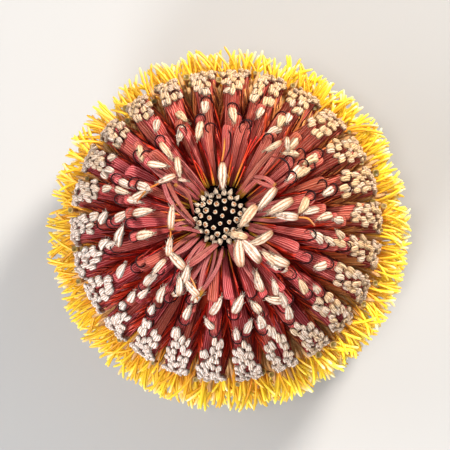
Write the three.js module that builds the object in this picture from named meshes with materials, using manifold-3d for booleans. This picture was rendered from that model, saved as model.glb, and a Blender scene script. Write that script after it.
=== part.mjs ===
// A banksia flower cone, cut just under its lowest flowers and standing on the cut face of its stalk.
// Millimetres, +Z up. The origin is the middle of the cut face.
//
// Three grown bodies make it:
//   spike_axis      the woody axis, with its cut stalk below and the dark domed tip with bract points above
//   closed_flowers  26 ridges of red perianths, each flower ending in a cream limb that is folded back
//   open_flowers    the opened flowers of the lower rows, with long yellow styles that stand straight out
import * as THREE from "three";
import { mergeVertices } from "three/addons/utils/BufferGeometryUtils.js";
import Module from "manifold-3d";

const wasm = await Module();
wasm.setup();

// Driving dimensions of the whole cone
const FLOWER_ROWS = 26;
const DOME_RADIUS = 32.8; // from the axis to the bend where a perianth meets its limb, at the widest row
const DOME_HEIGHT = 31.5; // of the dome that those bends lie on
const DOME_BASE_Z = 38;
const NODE_GAP = 0.3; // left between bodies that touch on the real cone
const OPEN_LIMIT_Z = 31.6; // flowers below this height have opened

// Woody axis
const STALK_RADIUS = 7.4;
const STALK_HEIGHT = 9;
const STALK_EDGE = 0.5; // rounding of the cut's rim
const AXIS_RADIUS = 6.2;
const AXIS_SIDES = 20;
const TIP_BASE_Z = 60;
const TIP_HEIGHT = 3.4;
const TIP_STEPS = 4;
const BRACT_POINTS = 40;
const BRACT_SPREAD = 1.36; // angle of the outermost bract from the axis, in radians
const BRACT_RADIUS = 0.56;
const BRACT_HEIGHT = 0.9;
const BRACT_SIDES = 4;

// Closed flowers: one of these stands for a pair of real ones, so it is larger than life
const CLOSED_TIERS = 8;
const FIRST_TIER_DEG = 31; // from the axis, seen from the middle of the dome
const LAST_TIER_DEG = 95;
const CROWN_TIERS = 2; // the top tiers have a flower on every other row only
const FIRST_ROOT_Z = 58;
const LAST_ROOT_Z = 34;
const ROOT_RADIUS = 7.8;
const PERIANTH = { rootWidth: 1.0, endWidth: 3.8, rootDepth: 1.2, endDepth: 1.7 };
const HIDDEN_SHARE = 0.45; // of the lowest perianths, which their core covers from the root outwards
const LIMB = { length: 4.6, width: 3.6, depth: 2.6, lift: 1.5, widest: 0.55 };
const NECK = { length: 1.5, width: 2.3, depth: 1.4 };

// Open flowers
const OPEN_TIERS = 7;
const STYLE_REACH = 40.6; // from the axis to the furthest tips
const REACH_SCATTER = 1.4;
const ROOT_SCATTER = 0.6;
const STYLE_RADIUS = 0.32;
const PRESENTER_RADIUS = 0.45;
const PRESENTER_LENGTH = 4.6;
const STYLE_SIDES = 3;
const STYLE_OFFSET = 0.17; // of a row's width, to the left and right of its middle in turn
const STYLE_ROOT = 0.8; // of the core's radius at the same height
const TOP_STYLE_Z = 29.9;
const LOW_STYLE_Z = 12.5;
const LOW_STYLE_DROOP = 8.4; // how far the lowest tips hang under their roots
const LOW_STYLE_SHORTER = 1.8;

// Cores that the flowers stand out of, domed above and bowl-shaped below, with a ridge under each row
const CLOSED_CORE = { radius: 27.6, base: 34, height: 27, fromDeg: 16, toDeg: 90, steps: 4 };
const OPEN_CORE = { radius: 27.4, base: OPEN_LIMIT_Z, height: -22.5, fromDeg: 24, toDeg: 90, steps: 4 };
const GROOVE_FOOT = 7.2; // from the axis to where the grooves between the ridges would meet
const GROOVE_SHARE = 0.74; // of the way out from there to the top of a ridge
const RIDGE_HALF = 0.33; // of a row's width, from the middle of a ridge to its shoulder
const GROOVE_EDGE = 0.43; // of a row's width, from the middle of a ridge to the floor of its groove

const degrees = THREE.MathUtils.degToRad;
const lerp = THREE.MathUtils.lerp;
const ROW_WIDTH = (2 * Math.PI) / FLOWER_ROWS;
const GOLDEN_ANGLE = Math.PI * (3 - Math.sqrt(5));

// Seeded, so that every build grows the same cone
function makeRandom(seed) {
  let state = seed;
  return () => {
    state = (Math.imul(state, 1664525) + 1013904223) >>> 0;
    return state / 2 ** 32;
  };
}

// A manifold solid of a closed three.js geometry
function solidOf(geometry) {
  const bare = geometry.index ? geometry.toNonIndexed() : geometry.clone();
  bare.deleteAttribute("normal");
  bare.deleteAttribute("uv");
  const merged = mergeVertices(bare, 1e-4);
  return new wasm.Manifold(
    new wasm.Mesh({
      numProp: 3,
      vertProperties: merged.attributes.position.array,
      triVerts: new Uint32Array(merged.index.array),
    }),
  );
}

// The three.js geometry of a manifold solid
function geometryOf(solid) {
  const mesh = solid.getMesh();
  const geometry = new THREE.BufferGeometry();
  geometry.setAttribute("position", new THREE.BufferAttribute(mesh.vertProperties, 3));
  geometry.setIndex(new THREE.BufferAttribute(mesh.triVerts, 1));
  const flat = geometry.toNonIndexed();
  flat.computeVertexNormals();
  return flat;
}

// A geometry of loose triangles, given corner by corner
function triangles(corners) {
  return new THREE.BufferGeometry().setAttribute("position", new THREE.Float32BufferAttribute(corners, 3));
}

// Skin over rings that all have the same number of points. A ring of one point is a tip, and any other
// ring at an end is convex and gets a flat cap.
function skin(rings) {
  const corners = [];
  const face = (a, b, c) => corners.push(...a.toArray(), ...b.toArray(), ...c.toArray());
  const sides = Math.max(...rings.map((ring) => ring.length));
  const at = (ring, k) => ring[ring.length === 1 ? 0 : k % sides];
  for (let i = 0; i + 1 < rings.length; i++) {
    for (let k = 0; k < sides; k++) {
      const [a, b] = [at(rings[i], k), at(rings[i], k + 1)];
      const [d, c] = [at(rings[i + 1], k), at(rings[i + 1], k + 1)];
      if (a !== b) face(a, b, c);
      if (c !== d) face(a, c, d);
    }
  }
  const first = rings[0];
  const last = rings.at(-1);
  for (let k = 1; k + 1 < first.length; k++) face(first[0], first[k + 1], first[k]);
  for (let k = 1; k + 1 < last.length; k++) face(last[0], last[k], last[k + 1]);
  return triangles(corners);
}

// A closed skin as a solid that faces out, whichever way round its rings were given
function outFacing(geometry) {
  const solid = solidOf(geometry);
  if (solid.volume() > 0) return solid;
  const at = geometry.getAttribute("position");
  const turned = [];
  for (let i = 0; i < at.count; i += 3) {
    for (const k of [i, i + 2, i + 1]) turned.push(at.getX(k), at.getY(k), at.getZ(k));
  }
  return solidOf(triangles(turned));
}

// A point given by its distance from the axis, its height and its angle round the axis
function polar(radius, height, angle) {
  return new THREE.Vector3(radius * Math.cos(angle), radius * Math.sin(angle), height);
}

// A ring of points round a centre, spanned by two half-axes
function ellipseRing(centre, across, up, sides, start = 0) {
  return Array.from({ length: sides }, (_, k) => {
    const turn = start + (k * 2 * Math.PI) / sides;
    return centre.clone().addScaledVector(across, Math.cos(turn)).addScaledVector(up, Math.sin(turn));
  });
}

// Radius and height of a core's ridges at an angle from the axis
function corePoint(core, deg) {
  return [core.radius * Math.sin(degrees(deg)), core.base + core.height * Math.cos(degrees(deg))];
}

// Radius of a core's ridges at a height
function coreRadius(core, z) {
  return core.radius * Math.sqrt(1 - ((z - core.base) / core.height) ** 2);
}

// One ring of a core, with four points to a row: the shoulders of its ridge, then the floor of its groove
function coreRing(radius, height) {
  const groove = lerp(GROOVE_FOOT, radius, GROOVE_SHARE);
  const ring = [];
  for (let row = 0; row < FLOWER_ROWS; row++) {
    ring.push(polar(radius, height, (row - RIDGE_HALF) * ROW_WIDTH));
    ring.push(polar(radius, height, (row + RIDGE_HALF) * ROW_WIDTH));
    ring.push(polar(groove, height, (row + GROOVE_EDGE) * ROW_WIDTH));
    ring.push(polar(groove, height, (row + 1 - GROOVE_EDGE) * ROW_WIDTH));
  }
  return ring;
}

// Solid of a core, with a bore for the axis
function makeCore(core, footZ) {
  const rings = [];
  for (let i = 0; i <= core.steps; i++) {
    rings.push(coreRing(...corePoint(core, lerp(core.fromDeg, core.toDeg, i / core.steps))));
  }
  if (footZ !== core.base) rings.push(coreRing(core.radius, footZ));
  const top = polar(0, rings[0][0].z, 0);
  const foot = polar(0, footZ, 0);
  const tall = 2 * TIP_BASE_Z;
  const bore = new THREE.CylinderGeometry(AXIS_RADIUS + NODE_GAP, AXIS_RADIUS + NODE_GAP, tall, AXIS_SIDES);
  bore.rotateX(Math.PI / 2).translate(0, 0, tall / 2);
  return outFacing(skin([[top], ...rings, [foot]])).subtract(solidOf(bore));
}

// One closed flower: a flattened perianth that runs out to the dome, folds over and ends in a pointed limb
function closedFlower(angle, tierDeg, share) {
  const tier = degrees(tierDeg);
  const bend = new THREE.Vector2(DOME_RADIUS * Math.sin(tier), DOME_BASE_Z + DOME_HEIGHT * Math.cos(tier));
  const outward = new THREE.Vector2(Math.sin(tier), Math.cos(tier));
  const upward = new THREE.Vector2(-Math.cos(tier), Math.sin(tier)); // along the dome, towards its top
  const root = new THREE.Vector2(ROOT_RADIUS, lerp(FIRST_ROOT_Z, LAST_ROOT_Z, share));
  const run = bend.clone().sub(root).normalize();
  const hidden = HIDDEN_SHARE * share;
  const start = root.clone().lerp(bend, hidden);
  const lateral = polar(1, 0, angle + Math.PI / 2);
  const ring = (centre, along, width, depth) =>
    ellipseRing(
      polar(centre.x, centre.y, angle),
      lateral.clone().multiplyScalar(width / Math.SQRT2),
      polar(-along.y, along.x, angle).multiplyScalar(depth / Math.SQRT2),
      4,
      Math.PI / 4,
    );
  const onLimb = (far, out) => bend.clone().addScaledVector(upward, far).addScaledVector(outward, out);
  const fold = run.clone().add(upward).normalize();
  const tip = onLimb(NECK.length + LIMB.length, LIMB.lift);
  return skin([
    ring(start, run, lerp(PERIANTH.rootWidth, PERIANTH.endWidth, hidden), PERIANTH.rootDepth),
    ring(bend, fold, PERIANTH.endWidth, PERIANTH.endDepth),
    ring(onLimb(NECK.length, LIMB.lift / 2), upward, NECK.width, NECK.depth),
    ring(onLimb(LIMB.length * LIMB.widest, LIMB.lift), upward, LIMB.width, LIMB.depth),
    [polar(tip.x, tip.y, angle)],
  ]);
}

// One released style: a straight wire from its core, ending in a thicker pollen presenter
function openStyle(angle, rootZ, droop, reach) {
  const from = polar(coreRadius(OPEN_CORE, rootZ) * STYLE_ROOT, rootZ, angle);
  const to = polar(reach, rootZ - droop, angle);
  const along = to.clone().sub(from).normalize();
  const lateral = polar(1, 0, angle + Math.PI / 2);
  const up = new THREE.Vector3().crossVectors(along, lateral);
  const ring = (back, radius) =>
    ellipseRing(
      to.clone().addScaledVector(along, -back),
      lateral.clone().multiplyScalar(radius),
      up.clone().multiplyScalar(radius),
      STYLE_SIDES,
    );
  return skin([
    ring(from.distanceTo(to), STYLE_RADIUS),
    ring(PRESENTER_LENGTH, STYLE_RADIUS),
    ring(PRESENTER_LENGTH / 2, PRESENTER_RADIUS),
    [to],
  ]);
}

// One bract of the tip: a blunt stud that stands out of the dome
function bractPoint(index) {
  const slope = BRACT_SPREAD * Math.sqrt((index + 0.5) / BRACT_POINTS);
  const angle = index * GOLDEN_ANGLE;
  const foot = polar(AXIS_RADIUS * Math.sin(slope), TIP_BASE_Z + TIP_HEIGHT * Math.cos(slope), angle);
  const normal = polar(TIP_HEIGHT * Math.sin(slope), AXIS_RADIUS * Math.cos(slope), angle).normalize();
  const across = new THREE.Vector3(0, 1, 0).cross(normal).normalize().multiplyScalar(BRACT_RADIUS);
  const up = normal.clone().cross(across);
  const onStud = (height) => foot.clone().addScaledVector(normal, height);
  return skin([
    ellipseRing(onStud(-BRACT_HEIGHT), across, up, BRACT_SIDES),
    ellipseRing(onStud(BRACT_HEIGHT / 2), across, up, BRACT_SIDES),
    [onStud(BRACT_HEIGHT)],
  ]);
}

function makeSpikeAxis() {
  const profile = [
    [0, 0],
    [STALK_RADIUS - STALK_EDGE, 0],
    [STALK_RADIUS, STALK_EDGE],
    [STALK_RADIUS, STALK_HEIGHT - 2],
    [AXIS_RADIUS, STALK_HEIGHT],
    [AXIS_RADIUS, TIP_BASE_Z],
  ];
  for (let i = 1; i < TIP_STEPS; i++) {
    const turn = (i / TIP_STEPS) * (Math.PI / 2);
    profile.push([AXIS_RADIUS * Math.cos(turn), TIP_BASE_Z + TIP_HEIGHT * Math.sin(turn)]);
  }
  profile.push([0, TIP_BASE_Z + TIP_HEIGHT]);
  const outline = profile.map(([x, y]) => new THREE.Vector2(x, y));
  const turned = new THREE.LatheGeometry(outline, AXIS_SIDES).rotateX(Math.PI / 2);
  const bracts = Array.from({ length: BRACT_POINTS }, (_, index) => outFacing(bractPoint(index)));
  return wasm.Manifold.union([outFacing(turned), ...bracts]);
}

function makeClosedFlowers() {
  const flowers = [];
  for (let tier = 0; tier < CLOSED_TIERS; tier++) {
    const share = tier / (CLOSED_TIERS - 1);
    const tierDeg = lerp(FIRST_TIER_DEG, LAST_TIER_DEG, share);
    for (let row = 0; row < FLOWER_ROWS; row++) {
      if (tier < CROWN_TIERS && (row + tier) % 2) continue;
      flowers.push(outFacing(closedFlower(row * ROW_WIDTH, tierDeg, share)));
    }
  }
  return wasm.Manifold.union([makeCore(CLOSED_CORE, OPEN_LIMIT_Z + NODE_GAP), ...flowers]);
}

function makeOpenFlowers() {
  const random = makeRandom(7);
  const styles = [];
  for (let tier = 0; tier < OPEN_TIERS; tier++) {
    const share = tier / (OPEN_TIERS - 1);
    for (let row = 0; row < FLOWER_ROWS; row++) {
      const side = (row + tier) % 2 ? STYLE_OFFSET : -STYLE_OFFSET;
      const angle = ROW_WIDTH * (row + side + STYLE_OFFSET * (random() - 0.5));
      const rootZ = lerp(TOP_STYLE_Z, LOW_STYLE_Z, share) - ROOT_SCATTER * random();
      const droop = LOW_STYLE_DROOP * share ** 2;
      const reach = STYLE_REACH - LOW_STYLE_SHORTER * share ** 2 - REACH_SCATTER * random();
      styles.push(outFacing(openStyle(angle, rootZ, droop, reach)));
    }
  }
  return wasm.Manifold.union([makeCore(OPEN_CORE, OPEN_LIMIT_Z), ...styles]);
}

function part(name, solid, color, roughness) {
  const mesh = new THREE.Mesh(
    geometryOf(solid),
    new THREE.MeshStandardMaterial({ color, roughness, metalness: 0 }),
  );
  mesh.name = name;
  return mesh;
}

const cone = new THREE.Group();
cone.add(part("spike_axis", makeSpikeAxis(), 0x3a2a20, 0.85));
cone.add(part("closed_flowers", makeClosedFlowers(), 0xb0484f, 0.6));
cone.add(part("open_flowers", makeOpenFlowers(), 0xf0b414, 0.55));

export default cone;
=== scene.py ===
"""The finished look of a banksia flower cone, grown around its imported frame.

Sizes are in millimetres, angles in degrees, and meshes are scaled to metres as they are made. The cone
stands on the cut face of its stalk at the origin, with its tip up.
"""

from __future__ import annotations

import logging
import math
from dataclasses import dataclass, field, fields
from enum import Enum, IntEnum

import bpy
import numpy as np
from mathutils import Matrix, Vector

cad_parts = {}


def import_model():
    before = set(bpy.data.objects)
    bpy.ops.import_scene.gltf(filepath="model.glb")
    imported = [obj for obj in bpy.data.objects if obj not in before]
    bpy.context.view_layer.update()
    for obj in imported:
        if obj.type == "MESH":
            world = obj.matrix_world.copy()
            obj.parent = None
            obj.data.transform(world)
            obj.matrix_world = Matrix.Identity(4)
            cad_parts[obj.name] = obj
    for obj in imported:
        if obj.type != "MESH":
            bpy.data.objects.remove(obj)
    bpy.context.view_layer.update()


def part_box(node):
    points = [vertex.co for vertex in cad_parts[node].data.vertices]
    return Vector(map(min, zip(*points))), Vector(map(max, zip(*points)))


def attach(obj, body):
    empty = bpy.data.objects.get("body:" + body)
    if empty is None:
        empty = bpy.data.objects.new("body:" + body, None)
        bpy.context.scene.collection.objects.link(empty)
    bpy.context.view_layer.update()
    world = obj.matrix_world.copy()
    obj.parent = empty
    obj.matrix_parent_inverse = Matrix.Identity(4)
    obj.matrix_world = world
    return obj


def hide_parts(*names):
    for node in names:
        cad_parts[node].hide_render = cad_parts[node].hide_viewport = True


LOG = logging.getLogger("banksia_cone")
MM = 0.001
BODY = "root"
GOLDEN_ANGLE = math.pi * (3 - math.sqrt(5))
Array = np.ndarray
Colour = tuple[float, float, float]
Pair = tuple[float, float]
UP = np.array([0.0, 0.0, 1.0])


class Node(Enum):
    """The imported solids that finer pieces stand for."""

    AXIS = "spike_axis"
    CLOSED = "closed_flowers"
    OPEN = "open_flowers"


class Slot(Enum):
    """The material slots of the record."""

    WOOD = "woody_axis"
    WOOL = "tip_wool"
    TUFT = "bract_tuft"
    PERIANTH = "red_perianth"
    LIMB = "cream_limb"
    DARK_STYLE = "dark_style"
    GOLD_STYLE = "yellow_style"
    SPENT = "spent_perianth"


class Face(Enum):
    """Names of the numbers that each point of a mesh carries for its finish."""

    ALONG = "along"  # 0 at the root of a flower part, 1 at its tip
    ACROSS = "across"  # turns round its section, 0 to 1
    RAISED = "raised"  # 1 on its ribs, 0 in its grooves
    # On the closed flowers' limbs, unit also carries painted light: higher, so whiter, away from the key
    # light.
    UNIT = "unit"  # one random number for each flower part
    # On the groove styles, zone also carries painted light, higher on the side toward the key light.
    ZONE = "zone"  # 0 at the crown of the cone, 1 at its lowest row


class Seed(IntEnum):
    """Where the random draws of each group of pieces start."""

    UPPER = 11
    LOWER = 12
    GOLD = 31
    MOUTHS = 53
    SPENT = 47
    TUFTS = 5
    LOOSE = 61
    STREAKS = 71


class Value:
    """A number that changes over a surface: a node's socket that takes Python's operators."""

    def __init__(self, shade: Shade, socket: bpy.types.NodeSocket) -> None:
        """Wraps one socket.

        Args:
            shade: The finish whose nodes the maths is added to.
            socket: The output that holds the number.
        """
        self.shade = shade
        self.socket = socket

    def maths(self, operation: str, first: Value | float, second: Value | float = 0.0) -> Value:
        """Adds one Math node.

        Args:
            operation: The node's operation.
            first: Its first number.
            second: Its second number.

        Returns:
            The result.
        """
        node = self.shade.node("ShaderNodeMath", {"operation": operation}, {0: first, 1: second})
        return Value(self.shade, node.outputs[0])

    def __add__(self, other: Value | float) -> Value:
        """Sum."""
        return self.maths("ADD", self, other)

    def __radd__(self, other: float) -> Value:
        """Sum, number first."""
        return self.maths("ADD", other, self)

    def __sub__(self, other: Value | float) -> Value:
        """Difference."""
        return self.maths("SUBTRACT", self, other)

    def __rsub__(self, other: float) -> Value:
        """Difference, number first."""
        return self.maths("SUBTRACT", other, self)

    def __mul__(self, other: Value | float) -> Value:
        """Product."""
        return self.maths("MULTIPLY", self, other)

    def __rmul__(self, other: float) -> Value:
        """Product, number first."""
        return self.maths("MULTIPLY", other, self)

    def __truediv__(self, other: Value | float) -> Value:
        """Quotient."""
        return self.maths("DIVIDE", self, other)

    def __rtruediv__(self, other: float) -> Value:
        """Quotient, number first."""
        return self.maths("DIVIDE", other, self)

    def __pow__(self, other: float) -> Value:
        """Power."""
        return self.maths("POWER", self, other)

    def __rpow__(self, other: float) -> Value:
        """Power, number first."""
        return self.maths("POWER", other, self)

    def wave(self) -> Value:
        """Sine, brought between 0 and 1."""
        return self.maths("SINE", self) * 0.5 + 0.5

    def shuffled(self, turns: float) -> Value:
        """Another random number, 0 to 1, made from this one."""
        return (self * turns).wave()

    def size(self) -> Value:
        """The number without its sign."""
        return self.maths("ABSOLUTE", self)

    def ease(self, low: float, high: float) -> Value:
        """Rises smoothly from 0 to 1.

        Args:
            low: The number where it starts to rise.
            high: The number where it has reached 1.

        Returns:
            The eased number.
        """
        settings = {"interpolation_type": "SMOOTHSTEP"}
        inputs = {"Value": self, "From Min": low, "From Max": high}
        node = self.shade.node("ShaderNodeMapRange", settings, inputs)
        return Value(self.shade, node.outputs[0])


@dataclass(frozen=True)
class Layer:
    """A colour that covers a finish as some number rises from low to high, up to its share."""

    colour: Colour
    low: float
    high: float
    share: float = 1.0


class Shade:
    """The node tree of one finish, around one Principled shader."""

    def __init__(self, name: str, roughness: float, **fixed: float) -> None:
        """Makes the material.

        Args:
            name: The material's name.
            roughness: The shader's roughness, the same everywhere.
            **fixed: Other sockets of the shader that are the same everywhere, with _ for a space.
        """
        self.material = bpy.data.materials.new(name)
        self.material.use_nodes = True
        self.tree = self.material.node_tree
        self.shader = self.tree.nodes["Principled BSDF"]
        self.shader.inputs["Roughness"].default_value = roughness
        for socket, number in fixed.items():
            self.shader.inputs[socket.replace("_", " ")].default_value = number

    def node(self, kind: str, settings: dict[str, object], inputs: dict[str | int, object]) -> bpy.types.Node:
        """Adds a node.

        Args:
            kind: The node's type.
            settings: Its properties, set first. The stops of a ramp are under "stops".
            inputs: The number, colour, Value or socket of each input, by name or place.

        Returns:
            The node.
        """
        made = self.tree.nodes.new(kind)
        for name, setting in settings.items():
            if name == "stops":
                self._set_stops(made.color_ramp, setting)
            else:
                setattr(made, name, setting)
        for name, given in inputs.items():
            socket = given.socket if isinstance(given, Value) else given
            if isinstance(socket, bpy.types.NodeSocket):
                self.tree.links.new(socket, made.inputs[name])
            else:
                made.inputs[name].default_value = socket
        return made

    @staticmethod
    def _set_stops(ramp: bpy.types.ColorRamp, stops: list[tuple[float, Colour]]) -> None:
        """Sets a ramp's stops.

        Args:
            ramp: The ramp.
            stops: The place and colour of each stop, in order.
        """
        while len(ramp.elements) < len(stops):
            ramp.elements.new(1.0)
        for element, (place, colour) in zip(ramp.elements, stops):
            element.position = place
            element.color = (*colour, 1.0)

    def face(self, name: Face) -> Value:
        """One of the numbers that the mesh carries."""
        node = self.node("ShaderNodeAttribute", {"attribute_name": name.value}, {})
        return Value(self, node.outputs["Fac"])

    def grain(self, size: float, detail: float = 2.0) -> Value:
        """Cloudy noise.

        Args:
            size: The size of its clouds in millimetres.
            detail: How many finer layers it has.

        Returns:
            The noise, about 0 to 1.
        """
        places = self.node("ShaderNodeTexCoord", {}, {})
        inputs = {"Vector": places.outputs["Object"], "Scale": 1 / (size * MM), "Detail": detail}
        node = self.node("ShaderNodeTexNoise", {}, inputs)
        return Value(self, node.outputs["Fac"])

    def side(self, towards: float = 50.0, reach: float = 36.0) -> Value:
        """How far each point lies to one side of the cone.

        Args:
            towards: The angle of that side round the axis, in degrees.
            reach: How far from the axis the number comes to 0 and 1, in millimetres.

        Returns:
            The number, 0.5 on the axis and 1 at the far edge of that side.
        """
        places = self.node("ShaderNodeTexCoord", {}, {})
        parts = self.node("ShaderNodeSeparateXYZ", {}, {"Vector": places.outputs["Object"]})
        x, y = (Value(self, parts.outputs[axis]) for axis in range(2))
        turn = math.radians(towards)
        return (x * math.cos(turn) + y * math.sin(turn)) * (0.5 / (reach * MM)) + 0.5

    def ramp(self, value: Value, stops: list[tuple[float, Colour]]) -> bpy.types.NodeSocket:
        """A colour ramp over a number.

        Args:
            value: The number.
            stops: The place and colour of each stop.

        Returns:
            The colour.
        """
        return self.node("ShaderNodeValToRGB", {"stops": stops}, {"Fac": value}).outputs["Color"]

    def mix(self, share: Value, first: object, second: object) -> bpy.types.NodeSocket:
        """Mixes two colours.

        Args:
            share: How much of the second colour shows.
            first: The first colour, or a colour socket.
            second: The second colour, or a colour socket.

        Returns:
            The mixed colour.
        """
        inputs = {0: share, 6: self._solid(first), 7: self._solid(second)}
        return self.node("ShaderNodeMix", {"data_type": "RGBA"}, inputs).outputs[2]

    def cover(self, skin: object, layers: list[tuple[Value, Layer | None]]) -> object:
        """Lays colours over each other.

        Args:
            skin: The lowest colour, or a colour socket.
            layers: The layers from below, each with the number that it rises with. None adds nothing.

        Returns:
            The colour on top.
        """
        for number, layer in layers:
            if layer is not None:
                skin = self.mix(number.ease(layer.low, layer.high) * layer.share, skin, layer.colour)
        return skin

    @staticmethod
    def _solid(colour: object) -> object:
        """A colour with its alpha, or the socket as it is."""
        return (*colour, 1.0) if isinstance(colour, tuple) else colour

    def colour(self, socket: bpy.types.NodeSocket) -> None:
        """Feeds the shader's colour."""
        self.tree.links.new(socket, self.shader.inputs["Base Color"])

    def bump(self, height: Value, distance: float) -> None:
        """Feeds the shader's normal.

        Args:
            height: The relief, 0 to 1.
            distance: What 1 stands for, in millimetres.
        """
        node = self.node("ShaderNodeBump", {}, {"Height": height, "Distance": distance * MM})
        self.tree.links.new(node.outputs["Normal"], self.shader.inputs["Normal"])


@dataclass(frozen=True)
class PerianthSkin:
    """Silky rose-red strap, finely lined lengthwise, olive at its root, with a painted sheen on its pale
    lines, painted shade in its grooves, at its edges and towards its root, and painted light on the side
    toward the key light.
    """

    name: str = "perianth_skin"
    rose: Colour = (0.42, 0.026, 0.030)
    pale: Colour = (0.76, 0.21, 0.22)
    # This dark red serves the skin's own mottling and the painted shade in its grooves, at its edges and
    # towards its root.
    vein_and_shade: Colour = (0.25, 0.005, 0.009)
    olive: Colour = (0.48, 0.22, 0.012)
    painted_light_copper: Layer = Layer((0.98, 0.40, 0.26), 0.4, 0.85, 0.85)
    brick: Layer = Layer((0.58, 0.030, 0.012), 0.3, 1.0, 0.7)
    painted_light_red: Layer = Layer((0.98, 0.15, 0.075), 0.45, 0.9, 0.72)
    umber: Layer = Layer((0.42, 0.13, 0.045), 0.6, 1.0, 0.5)
    maroon: Layer = Layer((0.26, 0.020, 0.034), 0.7, 1.0, 0.35)
    under: Layer = Layer((0.50, 0.012, 0.010), 0.8, 1.0)
    rust: Layer = Layer((0.52, 0.10, 0.03), 0.55, 1.0, 0.5)
    lines: float = 52.0
    middle: float = 0.333
    relief: float = 0.13

    def material(self) -> bpy.types.Material:
        """Makes the material.

        Returns:
            The material.
        """
        shade = Shade(self.name, 0.55, Specular_IOR_Level=0.3)
        along, across, raised, unit, zone = map(shade.face, Face)
        cloud = shade.grain(1.6, 3.0)
        # side rises to 1 on the side of the cone toward the key light, where the painted light below
        # brightens the straps.
        side = shade.side()
        foot = 1.0 - along
        groove = 1.0 - raised
        edge = ((across - self.middle) / self.middle).size()
        lines = (across * self.lines + cloud * 5.0 + unit * 9.0).wave()
        # Painted light: the skin turns redder and brighter on the side toward the key light.
        skin = shade.cover(self.rose, [(unit.shuffled(31.0), self.brick), (side, self.painted_light_red)])
        # The pale lines are the skin's silky hairs with a painted sheen on them, and painted light makes them
        # paler still toward the key light.
        pale = shade.cover(self.pale, [(side, self.painted_light_copper)])
        skin = shade.mix(lines.ease(0.3, 0.9) * 0.84 + unit * 0.05, skin, pale)
        skin = shade.cover(skin, [
            (unit.shuffled(83.0), self.umber),
            (unit.shuffled(57.0), self.maroon),
            # Painted shade: darker in the grooves between the ribs and along the strap's edges.
            (groove, Layer(self.vein_and_shade, 0.2, 0.7, 0.5)),
            (edge, Layer(self.vein_and_shade, 0.6, 1.0, 0.7)),
            (groove, self.under),
            (cloud, Layer(self.vein_and_shade, 0.55, 0.75, 0.4)),
            # Painted shade: darker towards the strap's root. The cloudy dark patches just above are the
            # skin's own mottling.
            (foot, Layer(self.vein_and_shade, 0.45, 0.9, 0.42)),
        ])
        skin = shade.mix(foot.ease(0.84, 0.97) * unit.shuffled(19.0).ease(0.3, 0.8), skin, self.olive)
        shade.colour(shade.cover(skin, [(zone, self.rust)]))
        shade.bump(lines + cloud, self.relief)
        return shade.material


@dataclass(frozen=True)
class LimbDown:
    """Cream downy limb, brown in its grooves partly as painted shade, with painted shade towards its base,
    tan near the rim of the cone where painted light shows it on the key light's side, and painted whiter on
    the far side.
    """

    cream: Colour = (0.80, 0.61, 0.37)
    peach: Colour = (0.72, 0.42, 0.29)
    tan: Colour = (0.96, 0.68, 0.32)
    painted_low_light_white: Colour = (0.94, 0.90, 0.85)
    line: Colour = (0.46, 0.20, 0.10)
    brown: Colour = (0.34, 0.12, 0.04)
    white: Layer = Layer((0.82, 0.73, 0.62), 0.1, 0.7)
    shadow: Layer = Layer((0.34, 0.14, 0.05), 0.62, 1.0, 0.75)
    lines: float = 50.0
    relief: float = 0.09

    def material(self) -> bpy.types.Material:
        """Makes the material.

        Returns:
            The material.
        """
        shade = Shade("limb_down", 0.8, Specular_IOR_Level=0.25)
        along, across, raised, unit, zone = map(shade.face, Face)
        cloud = shade.grain(0.5, 3.0)
        # side rises to 1 on the side of the cone toward the key light.
        side = shade.side()
        hairs = (across * self.lines + cloud * 5.0 + unit * 11.0).wave()
        # Painted light: the rim's tan shows on the side toward the key light, and the far side is painted
        # whiter.
        warm = zone.ease(0.12, 0.36) * (1.0 - unit) * side.ease(0.0, 0.9)
        away = zone.ease(0.05, 0.25) * (1.0 - side).ease(0.5, 0.9)
        # Brown in the grooves: partly the limb's own tint, partly painted shade.
        groove = (1.0 - raised).ease(0.55, 1.0) * cloud.ease(0.3, 0.6)
        skin = shade.cover(self.cream, [(unit, self.white), (unit, Layer(self.peach, 0.86, 0.98, 0.45))])
        skin = shade.mix(warm * 0.7, skin, self.tan)
        skin = shade.mix(away * 0.8, skin, self.painted_low_light_white)
        skin = shade.mix(hairs**2.5 * 0.9, skin, self.line)
        skin = shade.cover(skin, [(cloud, Layer(self.peach, 0.5, 0.7, 0.3))])
        skin = shade.mix(groove * 0.7, skin, self.brown)
        shade.colour(shade.cover(skin, [(1.0 - along, self.shadow)]))
        shade.bump(hairs + cloud, self.relief)
        return shade.material


@dataclass(frozen=True)
class StyleWax:
    """Smooth style, coloured along its length."""

    name: str
    stops: tuple[tuple[float, Colour], ...]
    rim: Layer | None = None
    warm: Layer | None = None
    away: Layer | None = None
    towards: float = 50.0
    pale: Colour = (0.96, 0.88, 0.62)
    pale_share: float = 0.0
    gloss: float = 0.5
    relief: float = 0.03

    def material(self) -> bpy.types.Material:
        """Makes the material.

        Returns:
            The material.
        """
        shade = Shade(self.name, 0.38, Specular_IOR_Level=self.gloss)
        along, unit, zone = map(shade.face, (Face.ALONG, Face.UNIT, Face.ZONE))
        cloud = shade.grain(0.9)
        skin = shade.ramp(along + (cloud - 0.5) * 0.25 + (unit - 0.5) * 0.16, list(self.stops))
        skin = shade.cover(skin, [(zone, self.rim), (unit.shuffled(43.0), self.warm)])
        skin = shade.mix(unit.ease(0.6, 0.9) * along.ease(0.6, 0.97) * self.pale_share, skin, self.pale)
        shade.colour(shade.cover(skin, [(1.0 - shade.side(self.towards), self.away)]))
        shade.bump(cloud, self.relief)
        return shade.material


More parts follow.
